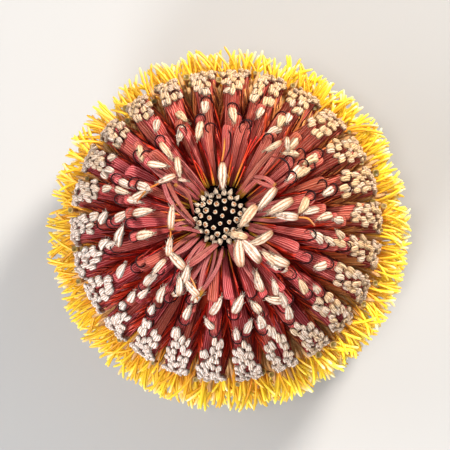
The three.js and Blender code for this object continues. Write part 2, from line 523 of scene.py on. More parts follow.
@dataclass(frozen=True)
class PlainDown:
    """Cloudy matt surface of two colours, with fibres along it."""

    name: str
    first: Colour
    second: Colour
    size: float = 0.6
    relief: float = 0.08
    roughness: float = 0.9
    fibres: float = 60.0
    gloss: float = 0.3

    def material(self) -> bpy.types.Material:
        """Makes the material.

        Returns:
            The material.
        """
        shade = Shade(self.name, self.roughness, Specular_IOR_Level=self.gloss)
        cloud = shade.grain(self.size, 4.0)
        fibres = (shade.face(Face.ACROSS) * self.fibres + cloud * 7.0).wave()
        skin = shade.mix((cloud * 0.7 + fibres * 0.3).ease(0.3, 0.7), self.first, self.second)
        shade.colour(skin)
        shade.bump(cloud + fibres * 0.4, self.relief)
        return shade.material


@dataclass(frozen=True)
class Bark:
    """Bark round the stalk, with a pale ringed cut face under it."""

    bark: Colour = (0.17, 0.10, 0.055)
    crack: Colour = (0.05, 0.026, 0.014)
    wood: Colour = (0.58, 0.42, 0.25)
    pith: Colour = (0.33, 0.20, 0.10)
    rings: float = 15.0
    fibres: float = 260.0
    relief: float = 0.25

    def material(self) -> bpy.types.Material:
        """Makes the material.

        Returns:
            The material.
        """
        shade = Shade("stalk_bark", 0.85)
        along, across, cut = map(shade.face, (Face.ALONG, Face.ACROSS, Face.RAISED))
        cloud = shade.grain(1.1, 5.0)
        rings = (along * (2 * math.pi * self.rings) + cloud * 3.0).wave()
        fibres = (across * self.fibres + cloud * 9.0).wave()
        skin = shade.mix(cloud.ease(0.42, 0.62), self.crack, self.bark)
        face = shade.mix(rings * 0.5 + cloud * 0.3, self.wood, self.pith)
        shade.colour(shade.mix(cut.ease(0.4, 0.6), skin, face))
        shade.bump(cloud + fibres * 0.2, self.relief)
        return shade.material


class Finish(Enum):
    """Every finish of the cone."""

    PERIANTH = PerianthSkin()
    LOOSE_STRAP = PerianthSkin("loose_strap_skin", rose=(0.50, 0.08, 0.085), pale=(0.86, 0.40, 0.36))
    LIMB = LimbDown()
    DARK_STYLE = StyleWax(
        "style_dark",
        ((0.0, (0.16, 0.006, 0.006)), (0.3, (0.03, 0.003, 0.004)), (0.85, (0.010, 0.002, 0.003)),
         (1.0, (0.20, 0.03, 0.02))),
        rim=Layer((0.40, 0.10, 0.02), 0.15, 0.75, 0.5), gloss=0.12)
    # The groove styles' zone is scaled by painted light, so their orange-gold rim layer is brighter on the
    # side toward the key light.
    GROOVE_STYLE = StyleWax(
        "style_groove", ((0.0, (0.58, 0.006, 0.004)), (0.5, (0.66, 0.014, 0.006)),
                         (1.0, (0.78, 0.06, 0.015))),
        rim=Layer((1.0, 0.44, 0.13), 0.14, 0.36, 0.92), warm=Layer((0.14, 0.006, 0.006), 0.5, 0.9, 0.8))
    STREAK = StyleWax(
        "young_streak", ((0.0, (0.36, 0.20, 0.015)), (0.25, (0.66, 0.26, 0.02)), (0.55, (0.74, 0.06, 0.012)),
                         (1.0, (0.62, 0.010, 0.008))))
    GOLD_STYLE = StyleWax(
        "style_gold", ((0.0, (0.36, 0.06, 0.005)), (0.25, (0.80, 0.34, 0.03)), (0.45, (0.93, 0.58, 0.02)),
                       (0.75, (0.97, 0.74, 0.02)), (1.0, (0.98, 0.84, 0.16))),
        warm=Layer((0.90, 0.30, 0.01), 0.5, 0.9, 0.5), away=Layer((0.90, 0.40, 0.01), 0.3, 1.0, 0.32),
        towards=-15.0, pale_share=0.85)
    YOUNG_STYLE = StyleWax(
        "style_young", ((0.0, (0.55, 0.14, 0.02)), (0.6, (0.70, 0.26, 0.03)), (1.0, (0.34, 0.08, 0.02))))
    MOUTH = StyleWax(
        "flower_mouth", ((0.0, (0.42, 0.16, 0.05)), (0.45, (0.62, 0.34, 0.12)), (0.62, (0.50, 0.32, 0.08)),
                         (0.74, (0.26, 0.16, 0.025)), (1.0, (0.13, 0.085, 0.01))))
    CORE = PlainDown("packed_perianths", (0.30, 0.008, 0.006), (0.44, 0.04, 0.012), size=1.4)
    SPENT = PlainDown("spent_skin", (0.60, 0.28, 0.10), (0.82, 0.54, 0.24), size=0.9)
    WOOL = PlainDown(
        "black_wool", (0.001, 0.001, 0.001), (0.004, 0.002, 0.002), size=0.2, relief=0.12, roughness=1.0,
        gloss=0.0)
    TUFT = PlainDown("cream_hairs", (0.94, 0.66, 0.44), (0.98, 0.86, 0.68), size=0.4)
    POINT = PlainDown("orange_points", (0.46, 0.13, 0.03), (0.78, 0.33, 0.12), size=0.3)
    BARK = Bark()


MATERIALS: dict[Finish, bpy.types.Material] = {}


@dataclass
class Dome:
    """The form that all flowers grow to, taken from the frame."""

    rows: int = 26
    first_row: float = 2.0
    root_radius: float = 6.0
    tip_radius: float = 5.0
    tip_base: float = 60.0
    tip_height: float = 3.2
    first_tier: float = 22.0
    tier_step: float = 6.3
    stagger: float = 0.25
    tier_scatter: tuple[float, float, float] = (0.42, 0.05, 0.12)
    row_scatter: tuple[float, float, float] = (0.062, 0.009, 0.012)
    top_tier: int = 2
    middle_tier: int = 8
    closed_tiers: int = 13
    open_tiers: int = 9
    root_step: float = 2.13
    limb_reach: float = 4.3
    base_rise: float = 6.4
    crown_rise: float = 0.5
    radius: float = field(init=False)
    height: float = field(init=False)
    base: float = field(init=False)
    reach: float = field(init=False)
    open_top: float = field(init=False)

    def __post_init__(self) -> None:
        """Takes the dome's radius and heights from the frame's boxes."""
        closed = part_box(Node.CLOSED.value)[1]
        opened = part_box(Node.OPEN.value)[1]
        self.reach = opened[0] / MM
        self.open_top = opened[2] / MM
        self.radius = closed[0] / MM - self.limb_reach
        self.base = self.open_top + self.base_rise
        self.height = closed[2] / MM - self.base + self.crown_rise

    @property
    def pitch(self) -> float:
        """Angle between two rows, in radians."""
        return 2 * math.pi / self.rows

    def row_angle(self, row: Array) -> Array:
        """Angle of a row round the axis, in radians."""
        return math.radians(self.first_row) + row * self.pitch

    @staticmethod
    def scatter(level: Array, numbers: tuple[float, float, float]) -> Array:
        """How far flowers stray, from the stray at the tip, its loss with each tier and the least stray."""
        return np.maximum(numbers[0] - numbers[1] * level, numbers[2])

    def bend(self, tier: Array) -> tuple[Array, Array]:
        """Radius and height where a flower folds over, for an angle from the axis in radians."""
        return self.radius * np.sin(tier), self.base + self.height * np.cos(tier)


def place(radius: Array | float, height: Array | float, angle: Array) -> Array:
    """Turns radii and heights into points in space.

    Args:
        radius: How far each point is from the axis.
        height: How high it is.
        angle: Its angle round the axis, in radians.

    Returns:
        The points.
    """
    return np.stack([radius * np.cos(angle), radius * np.sin(angle), height + 0 * angle], -1)


def unit_of(vector: Array) -> Array:
    """Vectors of length 1 in the same directions."""
    return vector / np.maximum(np.linalg.norm(vector, axis=-1, keepdims=True), 1e-9)


def bezier(start: Array, middle: Array, end: Array, shares: Array) -> Array:
    """Points of curves with one control point.

    Args:
        start: Where each curve starts.
        middle: Its control point.
        end: Where it ends.
        shares: The shares of the way along.

    Returns:
        One row of points for each curve.
    """
    t = shares[None, :, None]
    start, middle, end = start[:, None], middle[:, None], end[:, None]
    return (1 - t) ** 2 * start + 2 * t * (1 - t) * middle + t**2 * end


def smooth(stops: Array, count: int) -> Array:
    """Points of a curve that passes through its stops.

    Args:
        stops: The stops of each curve.
        count: How many points the curve gets.

    Returns:
        One row of points for each curve.
    """
    before = 2 * stops[:, :1] - stops[:, 1:2]
    after = 2 * stops[:, -1:] - stops[:, -2:-1]
    held = np.concatenate([before, stops, after], 1)
    way = np.linspace(0, stops.shape[1] - 1 - 1e-6, count)
    part = way.astype(int)
    t = (way - part)[None, :, None]
    a, b, c, d = (held[:, part + step] for step in range(4))
    return 0.5 * (2 * b + (c - a) * t + (2 * a - 5 * b + 4 * c - d) * t**2 + (3 * b - a - 3 * c + d) * t**3)


def directions(path: Array) -> Array:
    """The direction of each path at each of its points.

    Args:
        path: Parts by points by space.

    Returns:
        One direction for each point.
    """
    ahead = np.concatenate([path[:, 1:], path[:, -1:]], 1)
    behind = np.concatenate([path[:, :1], path[:, :-1]], 1)
    return unit_of(ahead - behind)


def frames(path: Array, above: Array = UP) -> tuple[Array, Array]:
    """The directions square to each path at each of its points.

    Args:
        path: Parts by points by space.
        above: The direction that sideways is square to.

    Returns:
        Sideways, and up.
    """
    heading = directions(path)
    side = unit_of(np.cross(heading, above))
    return side, unit_of(np.cross(side, heading))


def rolled(side: Array, up: Array, roll: Array) -> tuple[Array, Array]:
    """Turns two directions that are square to each other.

    Args:
        side: The first direction.
        up: The second one.
        roll: By how much they turn, in radians.

    Returns:
        The two directions.
    """
    return side * np.cos(roll) + up * np.sin(roll), up * np.cos(roll) - side * np.sin(roll)


@dataclass(frozen=True)
class Section:
    """The outline of a flower part, seen end on, with sides and ups of about 1."""

    side: Array
    up: Array
    raised: Array

    @classmethod
    def round(cls, sides: int, raised: float = 1.0) -> Section:
        """A plain round outline."""
        turn = 2 * np.pi * np.arange(sides) / sides
        return cls(np.cos(turn), np.sin(turn), np.full(sides, raised))

    @classmethod
    def lobed(cls, lobes: int, depth: float) -> Section:
        """An outline with lobes, three points to each.

        Args:
            lobes: How many lobes it has.
            depth: How deep the grooves between them are.

        Returns:
            The outline.
        """
        turn = 2 * np.pi * np.arange(lobes * 3) / (lobes * 3)
        ridge = np.where(np.arange(lobes * 3) % 3 == 0, 0.0, 1.0)
        reach = 1 - depth * (1 - ridge)
        return cls(reach * np.cos(turn), reach * np.sin(turn), ridge)

    @classmethod
    def strap(cls, ribs: int, relief: float) -> Section:
        """A flat strap, ribbed on its upper face and plain below.

        Args:
            ribs: How many ribs it has.
            relief: How far they stand out.

        Returns:
            The outline.
        """
        top = np.linspace(1, -1, 2 * ribs + 1)
        odd = np.arange(2 * ribs + 1) % 2
        crown = 0.6 * (1 - 0.75 * top**2) + relief * (odd - 0.5)
        below = np.linspace(-0.75, 0.75, 3)
        under = -0.5 * (1 - 0.3 * below**2)
        return cls(np.r_[top, below], np.r_[crown, under], np.r_[0.35 + 0.65 * odd, 0 * below])


@dataclass
class Growth:
    """Many flower parts of one shape, kept as one mesh."""

    points: list[Array] = field(default_factory=list)
    corners: list[Array] = field(default_factory=list)
    caps: list[Array] = field(default_factory=list)
    faces: dict[Face, list[Array]] = field(default_factory=lambda: {name: [] for name in Face})
    cells: list[Array] = field(default_factory=list)
    count: int = 0
    units: int = 0

    def sweep(
        self,
        path: Array,
        side: Array,
        up: Array,
        section: Section,
        unit: Array,
        zone: Array,
        along: tuple[float, float] = (0.0, 1.0),
    ) -> None:
        """Adds one closed skin along each path.

        Args:
            path: Parts by points by space.
            side: The sideways half-width of the section at each point.
            up: The upward half-depth of the section at each point.
            section: The outline.
            unit: One random number for each part.
            zone: The place of each part on the cone.
            along: What the shading's along is at the two ends.
        """
        parts, rings = path.shape[:2]
        sides = len(section.side)
        spread = side[:, :, None] * section.side[:, None] + up[:, :, None] * section.up[:, None]
        ring, turn = np.meshgrid(np.arange(rings - 1), np.arange(sides), indexing="ij")
        near = np.stack([ring * sides + turn, ring * sides + (turn + 1) % sides], -1)
        quad = np.concatenate([near, near[..., ::-1] + sides], -1).reshape(-1, 4)
        inward = (np.cross(side, up) * directions(path)).sum() < 0
        order = [0, 3, 2, 1] if inward else [0, 1, 2, 3]
        ends = np.stack([np.arange(sides)[::-1], (rings - 1) * sides + np.arange(sides)])
        start = self.count + np.arange(parts)[:, None, None] * rings * sides
        self.points.append((path[:, :, None] + spread).reshape(-1, 3))
        self.corners.append((start + quad[:, order]).reshape(-1, 4))
        self.caps.append((start + ends).reshape(-1, sides)[:, :: -1 if inward else 1])
        numbers = {
            Face.ALONG: np.linspace(*along, rings)[:, None],
            Face.ACROSS: np.arange(sides) / sides,
            Face.RAISED: section.raised,
            Face.UNIT: unit[:, None, None],
            Face.ZONE: zone[:, None, None],
        }
        for face, number in numbers.items():
            self.faces[face].append(np.ones((parts, rings, sides)) * number)
        steps = np.array([(0, 0), (1, 0), (1, 1), (0, 1)])[order]
        uv = (np.stack([turn, ring], -1)[:, :, None] + steps) / (sides, rings - 1)
        uv = np.tile(uv.reshape(-1, 8), (parts, 1))
        index = np.repeat(self.units + np.arange(parts), len(quad))
        self.cells.append(np.column_stack([index, uv]))
        self.count += parts * rings * sides
        self.units += parts

    def stand(self, rings: list[Pair], section: Section) -> None:
        """Adds one closed skin round the axis.

        Args:
            rings: The radius and height of each ring.
            section: The outline of a ring of radius 1.
        """
        radius, height = np.array(rings).T[:, None, :, None]
        right, ahead = radius * [1.0, 0.0, 0.0], radius * [0.0, 1.0, 0.0]
        self.sweep(height * UP, right, ahead, section, np.zeros(1), np.zeros(1))

    def strand(
        self, path: Array, radius: float, sides: int, unit: Array, zone: Array, above: Array = UP,
    ) -> None:
        """Adds one round strand along each path.

        Args:
            path: Parts by points by space.
            radius: Half its thickness.
            sides: How many sides it has.
            unit: One random number for each part.
            zone: The place of each part on the cone.
            above: The direction that its first side is square to.
        """
        side, up = frames(path, above)
        self.sweep(path, side * radius, up * radius, Section.round(sides), unit, zone)

    def join(self, other: Growth) -> None:
        """Takes over the parts of another growth.

        Args:
            other: The other growth.
        """
        self.points += other.points
        self.corners += [part + self.count for part in other.corners]
        self.caps += [part + self.count for part in other.caps]
        for face, values in other.faces.items():
            self.faces[face] += values
        self.cells += [part + np.eye(1, part.shape[1]) * self.units for part in other.cells]
        self.count += other.count
        self.units += other.units

    def mesh(self, name: str) -> bpy.types.Mesh:
        """Makes the mesh, with a layout for baking that has a cell for each part.

        Args:
            name: The mesh's name.

        Returns:
            The mesh.
        """
        points = np.concatenate(self.points) * MM
        quads = np.concatenate(self.corners)
        loops = [quads.reshape(-1)]
        sizes = [np.full(len(quads), 4)]
        for cap in self.caps:
            loops.append(cap.reshape(-1))
            sizes.append(np.full(len(cap), cap.shape[1]))
        corners = np.concatenate(loops)
        totals = np.concatenate(sizes)
        mesh = bpy.data.meshes.new(name)
        mesh.vertices.add(len(points))
        mesh.vertices.foreach_set("co", points.ravel())
        mesh.loops.add(len(corners))
        mesh.loops.foreach_set("vertex_index", corners)
        mesh.polygons.add(len(totals))
        mesh.polygons.foreach_set("loop_start", np.r_[0, np.cumsum(totals)[:-1]])
        mesh.update(calc_edges=True)
        for face, values in self.faces.items():
            layer = mesh.attributes.new(face.value, "FLOAT", "POINT")
            layer.data.foreach_set("value", np.concatenate([v.ravel() for v in values]))
        self._lay_out(mesh, len(corners))
        mesh.polygons.foreach_set("use_smooth", np.ones(len(totals), bool))
        mesh.validate()
        return mesh

    def _lay_out(self, mesh: bpy.types.Mesh, total: int) -> None:
        """Gives the mesh its layout for baking.

        Args:
            mesh: The mesh.
            total: How many corners its faces have.
        """
        cells = np.concatenate(self.cells)
        across = math.ceil(math.sqrt(self.units))
        margin = 0.08
        corner = np.stack([cells[:, 0] % across, cells[:, 0] // across], -1)
        inner = margin + (1 - 2 * margin) * cells[:, 1:].reshape(-1, 4, 2)
        uv = np.full((total, 2), 0.5 / across * margin)
        uv[: len(cells) * 4] = ((corner[:, None] + inner) / across).reshape(-1, 2)
        mesh.uv_layers.new(name="OFBake").data.foreach_set("uv", uv.ravel())


def add_piece(name: str, growth: Growth, finish: Finish, node: Node) -> None:
    """Makes one piece of the cone.

    Args:
        name: The piece's name.
        growth: Its parts.
        finish: Its finish.
        node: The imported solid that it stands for.
    """
    mesh = growth.mesh(name)
    mesh.materials.append(MATERIALS[finish])
    piece = bpy.data.objects.new(name, mesh)
    bpy.context.scene.collection.objects.link(piece)
    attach(piece, BODY)
    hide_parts(node.value)
    mesh.calc_loop_triangles()
    LOG.info("%s: %d parts, %d triangles", name, growth.units, len(mesh.loop_triangles))


@dataclass
class FlowerSites:
    """Where the flowers of some tiers stand, one entry for each flower."""

    angle: Array
    tier: Array
    level: Array
    hand: Array
    unit: Array
    zone: Array

    @classmethod
    def of(cls, dome: Dome, levels: range, seed: int) -> FlowerSites:
        """Places two mirrored flowers on every row of each tier.

        Args:
            dome: The form.
            levels: The tiers, counted from the crown.
            seed: The start of the random draws.

        Returns:
            The places.
        """
        random = np.random.default_rng(seed)
        row, level, hand = (a.ravel() for a in np.meshgrid(range(dome.rows), levels, (-1.0, 1.0)))
        stray = dome.scatter(level, dome.tier_scatter) * random.uniform(-1, 1, len(row))
        level = level + dome.stagger * hand * (-1.0) ** row + stray
        tier = np.radians(dome.first_tier + dome.tier_step * level)
        angle = dome.row_angle(row) + random.normal(0, dome.scatter(level, dome.row_scatter))
        tiers = dome.closed_tiers + dome.open_tiers
        return cls(angle, tier, level, hand, random.random(len(row)), level / tiers)

    @property
    def crown(self) -> Array:
        """1 for flowers at the crown, falling to 0 four tiers below it."""
        return np.clip(1 - (self.level - 2) / 4, 0, 1)

    def toward_key_light(self, towards: float) -> Array:
        """How far round to the key light's side each flower is, 0 to 1, for that side's angle in degrees: the
        share of painted light it gets.
        """
        return 0.5 + 0.5 * np.cos(self.angle - math.radians(towards))

    def take(self, kept: Array) -> FlowerSites:
        """Some of the flowers, as sites of their own."""
        return FlowerSites(*(getattr(self, item.name)[kept] for item in fields(self)))


@dataclass
class Lie:
    """How each flower lies: its root, its bend, and its directions there."""

    root: Array
    bend: Array
    run: Array  # outward along the strap
    up: Array  # the way its limb is folded
    over: Array  # square to the strap, away from the cone's middle
    gap: Array  # sideways, away from the middle of its row

    @property
    def far(self) -> Array:
        """The length of each strap."""
        return np.linalg.norm(self.bend - self.root, axis=-1)[:, None]

    @property
    def reach(self) -> Array:
        """How far from the axis each strap bends."""
        return np.hypot(self.bend[:, 0], self.bend[:, 1])[:, None]

    def path(self, stops: list[tuple[object, object, object]]) -> Array:
        """Paths given in the directions of the straps.

        Args:
            stops: Outward, sideways and upward distances from the bend.

        Returns:
            One path for each flower.
        """
        return np.stack([self.bend + self.run * a + self.gap * b + self.over * c for a, b, c in stops], 1)

    def take(self, kept: Array) -> Lie:
        """Some of the flowers."""
        return Lie(*(getattr(self, item.name)[kept] for item in fields(self)))


@dataclass
class LimbShape:
    """One kind of limb: a ribbed bud, square in section, with hairs that point to its tip."""

    length: float = 5.3
    width: float = 1.0
    depth: float = 0.84
    ribs: int = 4
    groove: float = 0.24
    bow: Pair = (0.1, 0.5)
    kink: float = 0.16
    roll: float = 0.4
    lengths: Pair = (0.9, 1.08)
    girths: Pair = (0.88, 1.12)
    hairs: int = 14
    hair_length: float = 1.05
    hair_radius: float = 0.1
    hair_taper: Pair = (1.0, 0.25)
    hair_lengths: Pair = (0.5, 1.1)
    hair_leans: Pair = (0.15, 0.6)
    hair_stop: int = 3
    hair_sunk: float = 0.85
    hair_shade: Pair = (0.3, 0.6)
    shares: tuple[float, ...] = (0.0, 0.06, 0.2, 0.4, 0.6, 0.78, 0.91, 1.0)
    girth: tuple[float, ...] = (0.45, 0.74, 0.95, 1.0, 0.9, 0.66, 0.36, 0.08)

    def grow(
        self, start: Array, ahead: Array, out: Array, size: Array, unit: Array, zone: Array,
        random: np.random.Generator,
    ) -> tuple[Growth, Growth]:
        """Grows limbs.

        Args:
            start: Their bases.
            ahead: Their directions.
            out: The way they bow.
            size: Their sizes, 1 for a whole one.
            unit: One number for each, 0 to 1, random or listed; on the closed flowers it also carries painted
                light.
            zone: Their places on the cone.
            random: The random draws.

        Returns:
            The limbs, and their hairs.
        """
        one = (len(start), 1)
        size = size[:, None]
        across = unit_of(np.cross(ahead, out))
        out = unit_of(np.cross(across, ahead))
        shares = np.array(self.shares)
        girth = np.array(self.girth)[:, None]
        bow = size * random.uniform(*self.bow, one) * np.sin(np.pi * shares)
        kink = size * random.normal(0, self.kink, one) * np.sin(np.pi * shares)
        length = self.length * size * random.uniform(*self.lengths, one) * shares
        path = start[:, None] + ahead[:, None] * length[..., None]
        path = path + out[:, None] * bow[..., None] + across[:, None] * kink[..., None]
        wide, deep = rolled(across, out, random.normal(0, self.roll, one))
        wide = wide * self.width * size * random.uniform(*self.girths, one)
        deep = deep * self.depth * size * random.uniform(*self.girths, one)
        limbs, hairs = Growth(), Growth()
        section = Section.lobed(self.ribs, self.groove)
        limbs.sweep(path, wide[:, None] * girth, deep[:, None] * girth, section, unit, zone)
        taper = self.hair_radius * np.array(self.hair_taper)[:, None]
        for _ in range(self.hairs):
            stop = random.integers(self.hair_stop, len(shares), len(start))
            turn = random.uniform(0, 2 * np.pi, one)
            beside = wide * np.cos(turn) + deep * np.sin(turn)
            foot = path[np.arange(len(start)), stop] + beside * self.hair_sunk * girth[stop]
            away = unit_of(ahead + unit_of(beside) * random.uniform(*self.hair_leans, one))
            tip = foot + away * self.hair_length * random.uniform(*self.hair_lengths, one) * size
            side = unit_of(np.cross(away, across + 0.3 * out))
            up = np.cross(side, away)
            hairs.sweep(np.stack([foot, tip], 1), side[:, None] * taper, up[:, None] * taper,
                        Section.round(3), unit, zone, self.hair_shade)
        return limbs, hairs


@dataclass
class ClosedFlowers:
    """The closed flowers: ribbed straps with blunt ends, cream limbs and dark style loops."""

    dome: Dome
    half_root: float = 0.4
    half_end: float = 1.24
    depth: float = 0.6
    root_rise: float = 0.6
    root_aside: float = 0.12
    strap_rise: float = 1.1
    strap_bow: float = 0.16
    strap_roll: float = 0.12
    crown_bow: float = 1.5
    crown_roll: float = 1.6
    ribs: int = 4
    rib_relief: float = 0.3
    strap_sizes: Pair = (0.8, 1.08)
    strap_shares: tuple[float, ...] = (0.0, 0.14, 0.3, 0.48, 0.66, 0.82, 0.93)
    strap_tail: tuple[tuple[float, float, float], ...] = (
        (0.0, 0.0, 0.0), (0.4, 0.0, -0.03), (0.66, 0.0, -0.12), (0.76, 0.0, -0.3))
    strap_widths: tuple[float, ...] = (0.0, 0.10, 0.26, 0.5, 0.74, 0.91, 1.0, 1.0)
    tail_widths: tuple[float, ...] = (0.95, 0.8, 0.5)
    strap_depths: tuple[float, ...] = (0.8, 0.8, 0.85, 0.9, 0.95, 1.0, 1.0, 1.0, 0.95, 0.8, 0.5)
    spread_from: float = 12.0
    spread: float = 0.055
    least_spread: float = 0.15
    thin: float = 0.56
    thin_to: float = 5.6
    bare_angle: float = 95.0
    bare_width: float = 26.0
    bare_thin: float = 0.1
    bare_limbs: float = 1.3
    bare_to: float = 2.7
    # The angle of the cone's side toward the key light, where painted light brightens the flowers.
    key_light_angle: float = 50.0
    loop_radius: float = 0.16
    loop_share: float = 0.6
    loops_past_rim: float = 1.8
    groove_radius: float = 0.17
    groove_styles: int = 6
    groove_back: float = 0.14
    groove_deep: float = 1.8
    loop_bulge: Pair = (-0.1, 0.7)
    limb_share: float = 0.42
    limb_share_step: float = 0.27
    limb_loss: float = 0.16
    limb_yaw: float = 0.16
    crown_yaw: float = 0.35
    limb_lift: Pair = (0.04, 0.1)
    belt: Pair = (6.0, 3.0)
    belt_lift: float = 0.22
    crown_lift: float = -0.12
    limb_aside: float = 0.15
    limb: LimbShape = field(default_factory=LimbShape)
    rim_from: float = 4.3
    rim_radius: float = 33.0
    rim_columns: tuple[Pair, ...] = ((0.6, -0.3), (1.96, -1.4), (1.3, -2.2))
    rim_sizes: Pair = (0.56, 0.68)
    rim_stray: Pair = (0.08, 0.14)
    rim_out: Pair = (0.8, 0.12)
    rim_lean: Pair = (0.12, 0.05)
    rim_turn: Pair = (0.05, 0.06)
    rim_limb: LimbShape = field(default_factory=lambda: LimbShape(
        hairs=6, hair_length=0.5, hair_radius=0.075, girth=(0.5, 0.8, 0.96, 1.0, 1.0, 0.95, 0.78, 0.42)))

    def offset(self, radius: Array) -> Array:
        """How far a strap's middle stands beside its row's middle, at a distance from the axis."""
        return np.maximum(self.spread * (radius - self.spread_from), self.least_spread)

    def groove(self, lie: Lie) -> Array:
        """How far the middle of the groove beside each strap is from the strap's middle."""
        return 0.5 * self.dome.pitch * lie.reach - self.offset(lie.reach)

    def lie_of(self, sites: FlowerSites) -> Lie:
        """Finds how the flowers lie.

        Args:
            sites: Where they stand.

        Returns:
            Their roots, bends and directions.
        """
        dome = self.dome
        radius, height = dome.bend(sites.tier)
        hand = sites.hand[:, None]
        aside = np.stack([-np.sin(sites.angle), np.cos(sites.angle), 0 * sites.angle], -1) * hand
        root_height = dome.tip_base + self.root_rise - dome.root_step * sites.level
        root = place(dome.root_radius, root_height, sites.angle) + aside * self.root_aside
        bend = place(radius, height, sites.angle) + aside * self.offset(radius[:, None])
        run = unit_of(bend - root)
        up = place(-np.cos(sites.tier), np.sin(sites.tier), sites.angle)
        gap = unit_of(np.cross(up, run)) * hand
        over = unit_of(up - (up * run).sum(-1, keepdims=True) * run)
        return Lie(root, bend, run, up, over, gap)

    def grow(self, levels: range, seed: int, prefix: str) -> None:
        """Grows some tiers.

        Args:
            levels: The tiers, counted from the crown.
            seed: The start of the random draws.
            prefix: What the pieces' names start with.
        """
        sites = FlowerSites.of(self.dome, levels, seed)
        random = np.random.default_rng(seed + 1)
        kept, bare = self._kept(sites, random)
        sites, bare = sites.take(kept), bare[kept]
        lie = self.lie_of(sites)
        straps = self._straps(sites, lie, random)
        add_piece(f"{prefix}_perianths", straps, Finish.PERIANTH, Node.CLOSED)
        looped = random.random(len(sites.level)) < self.loop_share
        looped &= sites.level < self.rim_from + self.loops_past_rim
        if looped.any():
            loops = self._loops(sites.take(looped), lie.take(looped), random)
            add_piece(f"{prefix}_style_loops", loops, Finish.DARK_STYLE, Node.CLOSED)
        strands = self._groove_styles(sites, lie, random)
        add_piece(f"{prefix}_groove_styles", strands, Finish.GROOVE_STYLE, Node.CLOSED)
        share = self.limb_share + self.limb_share_step * (sites.level - 2)
        share = share - self.bare_limbs * bare * (sites.level < self.bare_to)
        whole = random.random(len(sites.level)) < np.clip(share, 0, 1)
        rim = sites.level > self.rim_from + random.uniform(0, 1.0, len(sites.level))
        whole &= ~rim
        limbs, hairs = self._limbs(sites.take(whole), lie.take(whole), random)
        for column, step in self.rim_columns:
            more_limbs, more_hairs = self._rim_limbs(sites.take(rim), lie.take(rim), column, step, random)
            limbs.join(more_limbs)
            hairs.join(more_hairs)
        add_piece(f"{prefix}_limbs", limbs, Finish.LIMB, Node.CLOSED)
        add_piece(f"{prefix}_limb_hairs", hairs, Finish.LIMB, Node.CLOSED)

    def _kept(self, sites: FlowerSites, random: np.random.Generator) -> tuple[Array, Array]:
        """Thins the flowers near the tip, where one of each pair always stays.

        Args:
            sites: Where all flowers stand.
            random: The random draws.

        Returns:
            Which flowers stay, and how bare the cone is where each one stands.
        """
        turn = (np.degrees(sites.angle) - self.bare_angle + 180) % 360 - 180
        bare = np.exp(-((turn / self.bare_width) ** 2))
        gone = (self.thin + self.bare_thin * bare) * np.clip(self.thin_to - sites.level, 0, 1)
        pairs = (random.random(len(gone)) > gone).reshape(-1, 2)
        pairs[~pairs.any(1), 0] = True
        return pairs.ravel(), bare

    def _straps(self, sites: FlowerSites, lie: Lie, random: np.random.Generator) -> Growth:
        """The perianth straps.

        Args:
            sites: Where the flowers stand.
            lie: How they lie.
            random: The random draws.

        Returns:
            The straps.
        """
        one = (len(sites.unit), 1, 1)
        crown = sites.crown[:, None, None]
        middle = (lie.root + lie.bend) / 2 + lie.up * self.strap_rise
        path = bezier(lie.root, middle, lie.bend, np.array(self.strap_shares))
        path = np.concatenate([path, lie.path(self.strap_tail)], 1)
        arch = np.sin(np.pi * np.linspace(0, 1, path.shape[1]))[:, None]
        bow = random.normal(0, self.strap_bow, one) * (1 + self.crown_bow * crown)
        path = path + lie.gap[:, None] * bow * arch
        side = (lie.gap * sites.hand[:, None])[:, None]
        up = unit_of(np.cross(directions(path), side))
        roll = random.normal(0, self.strap_roll, one) * (1 + self.crown_roll * crown)
        side, up = rolled(side, up, roll)
        half = self.half_root + (self.half_end - self.half_root) * np.array(self.strap_widths)
        half = np.r_[half, self.half_end * np.array(self.tail_widths)][:, None]
        deep = self.depth * np.array(self.strap_depths)[:, None]
        growth = Growth()
        growth.sweep(path, side * half * random.uniform(*self.strap_sizes, one), up * deep,
                     Section.strap(self.ribs, self.rib_relief), sites.unit, sites.zone)
        return growth

    def _loops(self, sites: FlowerSites, lie: Lie, random: np.random.Generator) -> Growth:
        """The style loops that hug the ends of the straps.

        Args:
            sites: Where the flowers stand.
            lie: How they lie.
            random: The random draws.

        Returns:
            The loops.
        """
        bulge = random.uniform(*self.loop_bulge, (len(sites.unit), 1)) ** 2 * 2.0
        edge = self.half_end
        groove = self.groove(lie)
        stops = [
            (-0.5 * lie.far, 0.95 * groove, -1.6),
            (-0.3 * lie.far, 0.4 * groove + 0.75 * edge, -0.5),
            (-1.4, 1.12 * edge, 0.12),
            (-0.2, 1.12 * edge, 0.25),
            (0.75 + 0.7 * bulge, 0.72 * edge, 0.25),
            (1.08 + bulge, 0.0, 0.28),
            (0.75 + 0.6 * bulge, -0.66 * edge, 0.4),
            (-0.05, -0.72 * edge, 0.75),
            (-0.7, -0.25 * edge, 0.9),
        ]
        growth = Growth()
        growth.strand(smooth(lie.path(stops), 15), self.loop_radius, 5, sites.unit, sites.zone,
                      lie.over[:, None])
        return growth

    def _groove_styles(self, sites: FlowerSites, lie: Lie, random: np.random.Generator) -> Growth:
        """The styles that fan out from the middle of each groove.

        Args:
            sites: Where the flowers stand.
            lie: How they lie.
            random: The random draws.

        Returns:
            The styles.
        """
        growth = Growth()
        edge = self.half_end
        groove = self.groove(lie)
